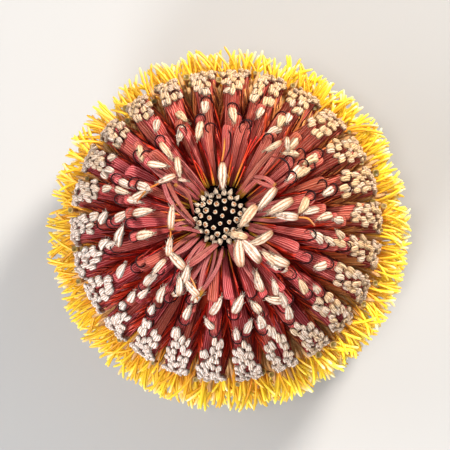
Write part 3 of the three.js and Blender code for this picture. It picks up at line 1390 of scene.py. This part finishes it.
        # Painted light: the zone that turns the styles orange-gold is scaled up on the side toward the key
        # light.
        zone_and_light = sites.zone * (0.3 + 0.7 * sites.toward_key_light(self.key_light_angle))
        for _ in range(self.groove_styles):
            back = random.uniform(0.0, self.groove_back, (len(sites.unit), 1)) * lie.far
            deep = random.uniform(0.0, self.groove_deep, (len(sites.unit), 1))
            stops = [
                (-0.5 * lie.far - back, 1.02 * groove, -1.0 - deep),
                (-0.34 * lie.far - back, 0.92 * groove, -0.5 - deep),
                (-0.16 * lie.far - back, 0.5 * groove + 0.5 * edge, -0.1 - deep),
                (-0.02 * lie.far - back, 0.9 * edge, 0.1 - deep),
            ]
            unit = random.random(len(sites.unit))
            growth.strand(smooth(lie.path(stops), 7), self.groove_radius, 3, unit, zone_and_light, lie.over[:, None])
        return growth

    def _limbs(self, sites: FlowerSites, lie: Lie, random: np.random.Generator) -> tuple[Growth, Growth]:
        """The limbs and their hairs.

        Args:
            sites: Where the flowers stand.
            lie: How they lie.
            random: The random draws.

        Returns:
            The limbs, and their hairs.
        """
        count = len(sites.unit)
        belt = np.exp(-(((sites.level - self.belt[0]) / self.belt[1]) ** 2))
        outer = np.clip((sites.level - 2.5) / 4, 0, 1)[:, None]
        yaw = random.normal(0, self.limb_yaw + self.crown_yaw * sites.crown)[:, None]
        out = unit_of(np.cross(lie.gap * sites.hand[:, None], lie.up))
        out = out * np.sign((out * lie.run).sum(-1, keepdims=True))
        lift = random.normal(*self.limb_lift, count) + self.belt_lift * belt + self.crown_lift * sites.crown
        ahead = unit_of(lie.up + lie.gap * yaw + out * lift[:, None])
        beside = random.normal(0, self.limb_aside, (count, 1))
        start = lie.path([(-0.6 + 1.5 * outer, beside, 0.5 - 0.1 * outer)])[:, 0]
        size = 1.0 - self.limb_loss * np.clip(sites.level / 7, 0, 1)
        size = size * random.uniform(*self.limb.lengths, count)
        return self.limb.grow(start, ahead, out, size, self._tone_with_painted_light(sites, random), sites.zone, random)

    def _tone_with_painted_light(self, sites: FlowerSites, random: np.random.Generator) -> Array:
        """How white each limb is: random, with painted light that makes limbs creamier on the side toward the
        key light and whiter on the far side.
        """
        return 0.6 * random.random(len(sites.unit)) + 0.4 * (1 - sites.toward_key_light(self.key_light_angle))

    def _rim_limbs(
        self, sites: FlowerSites, lie: Lie, column: float, step: float, random: np.random.Generator,
    ) -> tuple[Growth, Growth]:
        """The crowded limbs that hide the ends of the straps at the rim.

        Args:
            sites: Where their flowers stand.
            lie: How those lie.
            column: How far beside the middle of the row they stand at the rim.
            step: How far up the dome they stand from the ends of their straps.
            random: The random draws.

        Returns:
            The limbs, and their hairs.
        """
        one = (len(sites.unit), 1)
        beside = column * lie.reach / self.rim_radius - self.offset(lie.reach)
        beside = beside + random.normal(0, self.rim_stray[0], one)
        outer = random.normal(*self.rim_out, one)
        below = step + random.normal(0, self.rim_stray[1], one)
        start = lie.path([(outer, beside, below)])[:, 0]
        lean = lie.up + lie.run * random.normal(*self.rim_lean, one)
        lean = lean + lie.gap * random.normal(*self.rim_turn, one)
        size = random.uniform(*self.rim_sizes, len(sites.unit))
        tone = self._tone_with_painted_light(sites, random)
        return self.rim_limb.grow(start, unit_of(lean), lie.run, size, tone, sites.zone, random)


@dataclass
class Core:
    """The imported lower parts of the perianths, as a ridged body inside the flowers."""

    dome: Dome
    rings: list[Pair]
    name: str
    node: Node
    slot: Slot
    groove: float = 0.12
    sides: int = 8

    @classmethod
    def closed(cls, dome: Dome) -> Core:
        """The body inside the closed flowers.

        Args:
            dome: The form.

        Returns:
            The body.
        """
        rings = [(6.0, 48.0), (9.0, 50.5), (13.0, 52.5), (17.0, 53.0), (20.5, 52.0), (23.5, 49.8),
                 (26.0, 46.5), (27.8, 42.0), (28.4, 37.0), (28.4, dome.open_top + 0.3)]
        return cls(dome, rings, "closed_core", Node.CLOSED, Slot.PERIANTH)

    @classmethod
    def open(cls, dome: Dome, radius: float = 26.5, depth: float = 21.0) -> Core:
        """The body inside the open flowers.

        Args:
            dome: The form.
            radius: Its widest radius, at the top.
            depth: How far it reaches below its top.

        Returns:
            The body.
        """
        turns = np.radians(np.linspace(24, 90, 12))
        rings = [(radius * math.sin(turn), dome.open_top - depth * math.cos(turn)) for turn in turns]
        return cls(dome, rings, "open_core", Node.OPEN, Slot.SPENT)

    def grow(self) -> None:
        """Makes the piece."""
        rows = self.dome.rows
        turn = 2 * np.pi * np.arange(rows * self.sides) / (rows * self.sides)
        ridge = 0.5 + 0.5 * np.cos(turn * rows)
        angle = turn + math.radians(self.dome.first_row)
        reach = 1 - self.groove * (1 - ridge)
        growth = Growth()
        growth.stand(self.rings, Section(np.cos(angle) * reach, np.sin(angle) * reach, ridge))
        add_piece(self.name, growth, Finish.CORE, self.node)


@dataclass
class OpenFlowers:
    """The open flowers of the lower rows: golden styles, and the spent perianths around their feet."""

    dome: Dome
    per_tier: int = 9
    style_root: float = 31.2
    spent_root: float = 31.0
    root_fall: float = 19.5
    bowl_radius: float = 27.4
    bowl_depth: float = 22.5
    style_sunk: float = 2.5
    style_radius: float = 0.24
    presenter: float = 0.4
    flatness: float = 0.6
    roll: float = 0.9
    tuft: int = 3
    tuft_short: Pair = (1.3, 0.95)
    style_short: Pair = (1.1, 0.42)
    tuft_swing: float = 0.06
    style_swing: float = 0.045
    inset: float = 0.1
    lowest_short: float = 1.6
    droop: float = 8.4
    droop_stray: float = 0.7
    shares: tuple[float, ...] = (0.0, 0.3, 0.5, 0.64, 0.76, 0.88, 0.96, 1.0)
    swell: tuple[float, ...] = (0.0, 0.0, 0.2, 0.6, 1.0, 1.05, 0.9, -0.3)
    mouths: Pair = (31.3, 34.2)
    mouth_step: Pair = (1.9, -1.2)
    mouth_lean: Pair = (0.45, 1.0)
    mouth_sizes: Pair = (0.5, 0.95)
    mouth_rise: tuple[float, ...] = (-2.5, 0.0, 0.9, 1.5, 1.7, 1.62, 1.4)
    mouth_girth: tuple[float, ...] = (0.4, 0.6, 0.9, 0.95, 0.8, 0.6, 0.1)
    spent_sunk: float = 1.5
    strips: int = 3
    strip_spread: Pair = (0.045, 0.015)
    strip_lengths: Pair = (5.5, 10.0)
    strip_droop: float = 3.0
    strip_arch: Pair = (0.2, 1.4)
    strip_flatness: float = 0.45
    strip_half: tuple[float, ...] = (0.5, 0.5, 0.45, 0.4, 0.5, 0.2)

    def grow(self) -> None:
        """Grows the styles and the spent perianths."""
        self._styles()
        self._mouths()
        self._spent()

    def _sites(self, per_tier: int, random: np.random.Generator) -> tuple[Array, Array, Array]:
        """Where the open flowers stand.

        Args:
            per_tier: How many there are to a row and tier.
            random: The random draws.

        Returns:
            Angle, share of the way down, and a random number of each flower.
        """
        shape = (self.dome.rows, self.dome.open_tiers, per_tier)
        row, tier, turn = (a.ravel() for a in np.meshgrid(*map(np.arange, shape), indexing="ij"))
        share = (tier + (turn + 0.5) / per_tier * 0.9) / self.dome.open_tiers
        offset = (turn / max(per_tier - 1, 1) - 0.5) * 0.66
        angle = self.dome.row_angle(row) + (offset + random.normal(0, 0.12, len(row))) * self.dome.pitch
        return angle, np.clip(share, 0, 1), random.random(len(row))

    def _bowl(self, height: Array) -> Array:
        """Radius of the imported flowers' feet at a height."""
        down = (height - self.dome.open_top) / self.bowl_depth
        return self.bowl_radius * np.sqrt(np.clip(1 - down**2, 0.05, 1))

    def _styles(self) -> None:
        """Grows the golden styles."""
        random = np.random.default_rng(Seed.GOLD)
        angle, share, unit = self._sites(self.per_tier, random)
        count = len(angle)
        root = self.style_root - self.root_fall * share
        bowl = self._bowl(root) - self.style_sunk
        tufts = count // self.tuft
        short = np.repeat(random.gamma(*self.tuft_short, tufts), self.tuft)
        short = short + random.gamma(*self.style_short, count)
        reach = self.dome.reach - self.inset - self.lowest_short * share**2 - short
        droop = self.droop * share**2 + random.normal(0, self.droop_stray, count)
        swing = np.repeat(random.normal(0, self.tuft_swing, tufts), self.tuft)
        swing = swing + random.normal(0, self.style_swing, count)
        start = place(bowl, root, angle)
        middle = place(bowl + 0.6 * (reach - bowl), root - 0.2 * droop + 0.8, angle - 0.4 * swing)
        end = place(reach, root - droop + 0.9 * (1 - share), angle + swing)
        path = bezier(start, middle, end, np.array(self.shares))
        side, up = rolled(*frames(path), random.uniform(-self.roll, self.roll, (count, 1, 1)))
        swell = np.array(self.swell)[:, None]
        thick = self.style_radius + (self.presenter - self.style_radius) * swell
        growth = Growth()
        growth.sweep(path, side * thick, up * thick * self.flatness, Section.lobed(2, 0.25), unit,
                     0.6 + 0.4 * share)
        add_piece("golden_styles", growth, Finish.GOLD_STYLE, Node.OPEN)

    def _mouths(self) -> None:
        """Grows the emptied mouths that show in the grooves at the rim."""
        random = np.random.default_rng(Seed.MOUTHS)
        index = np.arange(self.dome.rows * 2)
        count = len(index)
        angle = self.dome.row_angle(index // 2 + 0.5) + random.normal(0, 0.05, count)
        radius = self.mouths[0] + self.mouth_step[0] * (index % 2) + random.uniform(-0.5, 0.5, count)
        height = self.mouths[1] + self.mouth_step[1] * (index % 2) + random.uniform(-0.5, 0.5, count)
        foot = place(radius, height, angle)[:, None]
        lean = unit_of(place(*self.mouth_lean, angle + random.normal(0, 0.5, count)))[:, None]
        side = unit_of(np.cross(lean, np.array([1.0, 0.0, 0.0])))
        size = random.uniform(*self.mouth_sizes, (count, 1, 1))
        rise = size * np.array(self.mouth_rise)[:, None]
        girth = size * np.array(self.mouth_girth)[:, None]
        growth = Growth()
        growth.sweep(foot + lean * rise, side * girth, np.cross(lean, side) * girth, Section.lobed(4, 0.14),
                     random.random(count), np.ones(count))
        add_piece("emptied_mouths", growth, Finish.MOUTH, Node.CLOSED)

    def _spent(self) -> None:
        """Grows the spent perianths."""
        random = np.random.default_rng(Seed.SPENT)
        angle, share, unit = self._sites(2, random)
        count = len(angle)
        root = self.spent_root - self.root_fall * share
        bowl = self._bowl(root) - self.spent_sunk
        half = np.array(self.strip_half)[:, None]
        growth = Growth()
        for strip in range(self.strips):
            swing = (strip - 1) * self.strip_spread[0] + random.normal(0, self.strip_spread[1], count)
            length = random.uniform(*self.strip_lengths, count)
            start = place(bowl, root, angle)
            height = root - self.strip_droop * share + random.normal(0, 1.0, count)
            end = place(bowl + length, height, angle + swing)
            middle = (start + end) / 2 + UP * random.uniform(*self.strip_arch, (count, 1))
            path = bezier(start, middle, end, np.linspace(0, 1, len(half)))
            side, up = frames(path)
            growth.sweep(path, side * half, up * half * self.strip_flatness, Section.round(4), unit,
                         0.6 + 0.4 * share)
        add_piece("spent_perianths", growth, Finish.SPENT, Node.OPEN)


@dataclass
class SpikeTip:
    """The dark domed tip with its rings of cream hairs, and the cut stalk below."""

    dome: Dome
    sides: int = 64
    skirt: tuple[Pair, ...] = ((5.7, 58.9), (6.7, 57.2), (7.2, 54.6), (7.2, 47.0))
    tufts: int = 50
    young: tuple[int, ...] = (0, 1, 2, 3, 5)
    young_ring: float = 0.74
    spread: float = 1.42
    shut_from: float = 0.95
    shut_over: float = 0.25
    ring: float = 0.46
    hairs: int = 12
    rings: Pair = (0.85, 1.12)
    hair_rise: Pair = (0.36, 0.72)
    shut_rise: float = 0.8
    hair_leans: Pair = (0.88, 1.1)
    hair_shares: tuple[float, ...] = (0.0, 0.4, 0.8, 1.0)
    hair_half: tuple[float, ...] = (0.13, 0.14, 0.10, 0.04)
    open_lean: tuple[float, ...] = (0.95, 1.05, 0.98, 0.74)
    shut_lean: tuple[float, ...] = (0.95, 0.9, 0.5, 0.15)
    point_height: tuple[float, ...] = (0.0, 0.25, 0.425, 0.5)
    point_half: tuple[float, ...] = (0.27, 0.27, 0.22, 0.09)
    stalk_radius: float = 7.2
    stalk_top: tuple[float, ...] = (9.0, 12.0)
    bark_rings: tuple[Pair, ...] = (
        (0.5, 0.05), (0.2, 0.15), (0.0, 0.5), (0.1, 2.0), (0.3, 4.0), (0.3, 6.0), (0.7, 8.0))
    cut_shares: tuple[float, ...] = (0.02, 0.2, 0.38, 0.56, 0.74, 0.92)

    def grow(self) -> None:
        """Makes the dome, its tufts and the stalk."""
        self._dome()
        self._tufts()
        self._stalk()

    def _normal_at(self, slope: Array, angle: Array) -> tuple[Array, Array]:
        """Place and outward direction on the dome of the tip.

        Args:
            slope: Angle from the axis, in radians.
            angle: Angle round the axis, in radians.

        Returns:
            Points and directions.
        """
        wide, tall = self.dome.tip_radius, self.dome.tip_height
        foot = place(wide * np.sin(slope), self.dome.tip_base + tall * np.cos(slope), angle)
        return foot, unit_of(place(tall * np.sin(slope), wide * np.cos(slope), angle))

    def _dome(self) -> None:
        """Makes the dark dome."""
        dome = self.dome
        turns = np.linspace(0.02, 1.0, 12) * math.pi / 2
        radius = dome.tip_radius * np.sin(turns)
        height = dome.tip_base + dome.tip_height * np.cos(turns)
        growth = Growth()
        growth.stand([*zip(radius, height), *self.skirt], Section.round(self.sides))
        add_piece("tip_wool", growth, Finish.WOOL, Node.AXIS)

    def _tufts(self) -> None:
        """Makes the rings of cream hairs and the orange points inside them."""
        random = np.random.default_rng(Seed.TUFTS)
        index = np.arange(self.tufts)
        one = (self.tufts, 1)
        slope = self.spread * np.sqrt((index + 0.3) / self.tufts)
        foot, normal = self._normal_at(slope, index * GOLDEN_ANGLE)
        across = unit_of(np.cross(normal, np.array([0.0, 1.0, 0.0])))
        up = np.cross(normal, across)
        shut = np.clip((slope - self.shut_from) / self.shut_over, 0, 1)[:, None]
        young = np.isin(index, self.young)
        ring = np.where(young, self.young_ring, random.uniform(*self.rings, self.tufts))
        ring = self.ring * ring[:, None]
        half = np.array(self.hair_half)[:, None]
        hairs, points = Growth(), Growth()
        for hair in range(self.hairs):
            turn = 2 * np.pi * hair / self.hairs + random.uniform(0, 0.3, self.tufts)
            out = across * np.cos(turn)[:, None] + up * np.sin(turn)[:, None]
            rise = random.uniform(*self.hair_rise, one) * (1 + self.shut_rise * shut)
            rise = rise * np.array(self.hair_shares)
            lean = ring * np.array(self.open_lean) * random.uniform(*self.hair_leans, one) * (1 - shut)
            lean = lean + ring * np.array(self.shut_lean) * shut
            path = foot[:, None] + out[:, None] * lean[..., None] + normal[:, None] * rise[..., None]
            hairs.sweep(path, np.cross(normal, out)[:, None] * half, out[:, None] * half * 0.7,
                        Section.round(4), random.random(self.tufts), np.zeros(self.tufts))
        add_piece("bract_tufts", hairs, Finish.TUFT, Node.AXIS)
        height = np.array(self.point_height)[:, None]
        half = np.array(self.point_half)[:, None]
        points.sweep(foot[:, None] + normal[:, None] * height, across[:, None] * half, up[:, None] * half,
                     Section.round(6), random.random(self.tufts), np.zeros(self.tufts))
        add_piece("bract_points", points, Finish.POINT, Node.AXIS)

    def _stalk(self) -> None:
        """Makes the stalk, down to its cut face."""
        full, inner = self.stalk_radius, self.dome.tip_radius
        bark = [(full - less, height) for less, height in self.bark_rings]
        bark += [(inner, height) for height in self.stalk_top]
        cut = [(full * share, 0.0) for share in self.cut_shares] + [(full * self.cut_shares[-1], 0.3)]
        growth = Growth()
        growth.stand(bark, Section.round(self.sides, 0.0))
        growth.stand(cut, Section.round(self.sides, 1.0))
        add_piece("stalk", growth, Finish.BARK, Node.AXIS)


@dataclass(frozen=True)
class Loose:
    """One loose limb near the tip, seen from above: where its base and its tip lie."""

    base: Pair
    tip: Pair
    tone: float = 0.5


@dataclass
class LooseFlowers:
    """The flowers that lean over the tip of the cone, with their split straps and loose styles."""

    dome: Dome
    limb: LimbShape = field(default_factory=lambda: LimbShape(hairs=22, width=0.92, depth=0.78))
    low: float = 63.9
    rise: float = 0.22
    foot_radius: float = 5.6
    strap_half: float = 0.5
    strap_flatness: float = 0.45
    strap_roll: float = 0.45
    strap_bows: Pair = (0.3, 0.9)
    style_radius: float = 0.18
    streaks: int = 3
    streak_radius: float = 0.14
    streak_reach: Pair = (9.0, 17.0)
    streak_slope: float = 0.3
    limbs: tuple[Loose, ...] = (
        Loose((0.7, 10.6), (0.7, 5.4)),
        Loose((11.4, 5.4), (7.6, 1.0)),
        Loose((7.4, 2.0), (3.7, -2.8), 0.3),
        Loose((14.8, 3.0), (9.8, 0.3), 0.4),
        Loose((15.9, -0.6), (10.6, 0.0), 0.9),
        Loose((10.7, -3.4), (5.5, -5.9), 0.4),
        Loose((5.7, -4.5), (1.5, -3.5), 0.2),
        Loose((4.4, -10.4), (4.0, -4.6), 0.97),
        Loose((8.3, -9.5), (4.4, -5.0), 0.7),
        Loose((14.0, -10.1), (9.3, -7.5), 0.5),
        Loose((-9.7, -2.8), (-9.3, 2.4), 0.95),
        Loose((-10.1, -8.3), (-9.7, -4.4), 0.9),
        Loose((-6.8, -10.8), (-10.6, -6.8), 0.5),
        Loose((-10.7, -8.9), (-13.4, -12.3), 0.9),
        Loose((-8.4, 11.7), (-7.8, 7.5), 0.4),
        Loose((-11.7, 14.5), (-9.4, 11.4), 0.3),
        Loose((-14.3, 10.3), (-10.1, 9.8), 0.5),
        Loose((-8.7, 8.0), (-12.3, 6.5), 0.98),
        Loose((-8.3, 7.2), (-6.2, 6.9), 0.96),
        Loose((12.6, 14.5), (9.0, 12.7), 0.3),
        Loose((13.7, 15.4), (13.8, 12.2), 0.4),
        Loose((-7.9, -16.2), (-7.9, -11.8), 0.8),
        Loose((8.7, -15.4), (6.9, -11.2), 0.9),
        Loose((-3.9, -16.2), (-7.1, -12.5), 0.6),
    )
    ribbons: tuple[tuple[Pair, ...], ...] = (
        ((-11.1, 6.2), (-9.6, 2.6), (-5.2, -1.9)),
        ((-10.2, 6.4), (-8.0, 2.4), (-5.0, -1.4)),
        ((-8.9, 6.2), (-6.3, 4.3), (-5.3, 0.4)),
        ((-9.7, -2.6), (-6.5, -2.7), (-3.4, -3.3)),
        ((-6.9, -10.6), (-4.4, -8.3), (-0.8, -5.4)),
        ((-6.7, -10.8), (-3.6, -8.7), (-0.2, -5.5)),
        ((-3.9, -16.2), (-0.4, -10.8), (0.6, -6.0)),
        ((11.3, 5.8), (9.4, 7.3), (6.2, 8.2)),
        ((11.2, 5.5), (8.6, 6.3), (6.4, 7.9)),
    )
    dark: tuple[tuple[Pair, ...], ...] = (
        ((0.9, 10.5), (2.2, 13.3), (2.4, 15.9), (1.9, 17.0)),
        ((11.7, 5.6), (13.9, 7.6), (14.0, 9.6), (12.9, 11.0), (10.6, 11.6)),
        ((-10.2, -8.2), (-8.6, -10.6), (-9.9, -14.6)),
    )
    orange: tuple[tuple[Pair, ...], ...] = (
        ((-12.0, 6.4), (-14.4, 5.0), (-16.4, 2.6)),
        ((-9.7, -2.8), (-9.6, -6.0), (-8.8, -9.2)),
        ((0.6, 10.8), (1.0, 12.9), (1.2, 15.4)),
        ((15.9, -0.6), (17.8, -0.9), (19.2, -2.4)),
        ((-6.8, -10.9), (-4.9, -13.9), (-4.2, -17.0)),
    )

    def _height(self, flat: Array, lift: float) -> Array:
        """Lays points seen from above on the bowl over the tip.

        Args:
            flat: Their places from above.
            lift: How far they lie over the lowest loose limbs' middles.

        Returns:
            The points in space.
        """
        away = np.linalg.norm(flat, axis=-1, keepdims=True)
        return np.concatenate([flat, self.low + lift + self.rise * np.maximum(away - 6, -1)], -1)

    def grow(self) -> None:
        """Grows the limbs, their straps and the loose strands."""
        random = np.random.default_rng(Seed.LOOSE)
        base = self._height(np.array([item.base for item in self.limbs]), 0.3)
        tip = self._height(np.array([item.tip for item in self.limbs]), 0.0)
        tone = np.array([item.tone for item in self.limbs])
        size = np.linalg.norm(tip - base, axis=-1) / self.limb.length
        upright = np.tile(UP, (len(base), 1))
        crown = np.zeros(len(base))
        limbs, hairs = self.limb.grow(base, unit_of(tip - base), upright, size, tone, crown, random)
        add_piece("loose_limbs", limbs, Finish.LIMB, Node.CLOSED)
        add_piece("loose_limb_hairs", hairs, Finish.LIMB, Node.CLOSED)
        self._straps(base, random)
        self._styles("loose_styles", self.dark, Finish.DARK_STYLE, random)
        self._styles("young_styles", self.orange, Finish.YOUNG_STYLE, random)
        self._streaks()

    def _straps(self, base: Array, random: np.random.Generator) -> None:
        """Grows the split straps, two to each limb, and the single ribbons.

        Args:
            base: Where the limbs start.
            random: The random draws.
        """
        straps = Growth()
        angle = np.arctan2(base[:, 1], base[:, 0]) + random.normal(0, 0.05, len(base))
        foot = place(self.foot_radius, self.dome.tip_base + 0.4, angle)
        for side in (-1, 1):
            aside = np.stack([-np.sin(angle), np.cos(angle), 0 * angle], -1) * side
            bow = random.uniform(*self.strap_bows, (len(base), 1))
            middle = (foot + base) / 2 + aside * bow - 0.3 * UP
            stops = np.stack([foot + aside * 0.3, middle, base + aside * 0.15], 1)
            self._ribbon(straps, smooth(stops, 9), random)
        for ribbon in self.ribbons:
            points = self._height(np.array(ribbon), 0.5)
            points[-1, 2] = self.dome.tip_base + 1.2
            self._ribbon(straps, smooth(points[None], 11), random)
        add_piece("loose_straps", straps, Finish.LOOSE_STRAP, Node.CLOSED)

    def _styles(
        self, name: str, table: tuple[tuple[Pair, ...], ...], finish: Finish, random: np.random.Generator,
    ) -> None:
        """Grows loose styles.

        Args:
            name: The piece's name.
            table: The stops of each style, seen from above.
            finish: Their finish.
            random: The random draws.
        """
        growth = Growth()
        for stops in table:
            path = smooth(self._height(np.array(stops), 0.2)[None], 15)
            growth.strand(path, self.style_radius, 6, random.random(1), np.zeros(1))
        add_piece(name, growth, finish, Node.CLOSED)

    def _streaks(self) -> None:
        """Grows the thin young strands between the straps round the tip."""
        random = np.random.default_rng(Seed.STREAKS)
        count = self.dome.rows * self.streaks
        angle = self.dome.row_angle(np.arange(count) / self.streaks) + random.normal(0, 0.05, count)
        share = np.linspace(0, 1, 4)
        length = random.uniform(*self.streak_reach, count) - self.foot_radius
        out = 1.1 + length[:, None] * share
        turn = angle[:, None] + random.normal(0, 0.03, (count, 1)) * share**2
        path = place(self.foot_radius + out, self.dome.tip_base - 0.9 + self.streak_slope * out, turn)
        growth = Growth()
        growth.strand(smooth(path, 8), self.streak_radius, 4, random.random(count), np.zeros(count))
        add_piece("young_streaks", growth, Finish.STREAK, Node.CLOSED)

    def _ribbon(self, growth: Growth, path: Array, random: np.random.Generator) -> None:
        """Adds flat ribbons along paths.

        Args:
            growth: Where they are added.
            path: The paths.
            random: The random draws.
        """
        parts, stops = path.shape[:2]
        side, up = rolled(*frames(path), random.normal(0, self.strap_roll, (parts, 1, 1)))
        taper = np.interp(np.linspace(0, 1, stops), [0, 0.3, 0.8, 1], [0.9, 1.0, 0.8, 0.45])
        half = self.strap_half * taper[:, None]
        growth.sweep(path, side * half, up * half * self.strap_flatness, Section.strap(2, 0.3),
                     random.random(parts), np.zeros(parts))


@dataclass(frozen=True)
class Lamp:
    """One soft light that faces the cone."""

    name: str
    spot: tuple[float, float, float]
    size: float
    power: float
    colour: Colour


@dataclass(frozen=True)
class Studio:
    """The floor, the soft lights and the camera."""

    distance: float = 450.0
    tilt: float = 5.3
    lean: Pair = (0.578, -0.816)
    aim: tuple[float, float, float] = (-1.0, 1.13, 24.0)
    lens: float = 163.7
    floor_size: float = 4000.0
    floor_colour: Colour = (0.45, 0.446, 0.44)
    lamp_aim: tuple[float, float, float] = (0.0, 0.0, 40.0)
    lamps: tuple[Lamp, ...] = (
        Lamp("key_light", (330.0, 430.0, 480.0), 160.0, 7.2, (1.0, 0.94, 0.87)),
        Lamp("top_light", (-40.0, -60.0, 760.0), 140.0, 1.8, (1.0, 0.98, 0.97)),
        Lamp("low_light", (-240.0, -430.0, 330.0), 220.0, 2.9, (0.96, 0.975, 1.0)),
        Lamp("fill_light", (-460.0, 60.0, 340.0), 340.0, 0.8, (0.98, 0.98, 1.0)),
    )
    sky: Colour = (1.0, 0.99, 0.97)
    sky_strength: float = 0.27

    def build(self) -> None:
        """Makes everything around the cone."""
        self._floor()
        for lamp in self.lamps:
            self._light(lamp)
        self._world()
        self._camera()

    def _floor(self) -> None:
        """Makes the floor."""
        half = self.floor_size / 2 * MM
        corners = [(-half, -half, 0), (half, -half, 0), (half, half, 0), (-half, half, 0)]
        mesh = bpy.data.meshes.new("floor")
        mesh.from_pydata(corners, [], [(0, 1, 2, 3)])
        floor = bpy.data.objects.new("floor", mesh)
        bpy.context.scene.collection.objects.link(floor)
        shade = Shade("floor_paint", 0.8)
        shade.shader.inputs["Base Color"].default_value = (*self.floor_colour, 1.0)
        mesh.materials.append(shade.material)

    def _light(self, lamp: Lamp) -> None:
        """Makes one light.

        Args:
            lamp: Its place, size, power and colour.
        """
        data = bpy.data.lights.new(lamp.name, "AREA")
        data.shape = "DISK"
        data.size = lamp.size * MM
        data.energy = lamp.power
        data.color = lamp.colour
        light = bpy.data.objects.new(lamp.name, data)
        light.location = Vector(lamp.spot) * MM
        towards = Vector(self.lamp_aim) - Vector(lamp.spot)
        light.rotation_euler = towards.to_track_quat("-Z", "Y").to_euler()
        bpy.context.scene.collection.objects.link(light)

    def _world(self) -> None:
        """Makes the pale surroundings."""
        world = bpy.data.worlds.new("studio")
        world.use_nodes = True
        inputs = world.node_tree.nodes["Background"].inputs
        inputs["Color"].default_value = (*self.sky, 1.0)
        inputs["Strength"].default_value = self.sky_strength
        bpy.context.scene.world = world
        bpy.context.scene.view_settings.view_transform = "Standard"

    def _camera(self) -> None:
        """Makes the camera, which looks down on the tip from a little to the lower right."""
        tilt = math.radians(self.tilt)
        across = math.sin(tilt)
        away = Vector((self.lean[0] * across, self.lean[1] * across, math.cos(tilt)))
        data = bpy.data.cameras.new("camera")
        data.lens = self.lens
        data.sensor_width = 36.0
        data.clip_start = 0.01
        camera = bpy.data.objects.new("camera", data)
        camera.location = (Vector(self.aim) + away * self.distance) * MM
        right = Vector((0, 1, 0)).cross(away).normalized()
        turn = Matrix((right, away.cross(right), away)).transposed()
        camera.rotation_euler = turn.to_euler()
        bpy.context.scene.collection.objects.link(camera)
        bpy.context.scene.camera = camera


def make_materials() -> None:
    """Makes every finish once."""
    MATERIALS.update({finish: finish.value.material() for finish in Finish})


def main() -> None:
    """Loads the frame, grows the cone around it and sets up the studio."""
    logging.basicConfig(level=logging.INFO, format="%(name)s: %(message)s")
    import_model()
    make_materials()
    dome = Dome()
    LOG.info("dome of radius %.1f and height %.1f mm on %.1f mm", dome.radius, dome.height, dome.base)
    closed = ClosedFlowers(dome)
    closed.grow(range(dome.top_tier, dome.middle_tier), Seed.UPPER, "upper")
    closed.grow(range(dome.middle_tier, dome.closed_tiers), Seed.LOWER, "lower")
    for part in (Core.closed(dome), Core.open(dome), OpenFlowers(dome), LooseFlowers(dome), SpikeTip(dome)):
        part.grow()
    Studio().build()


if __name__ == "__main__":
    main()
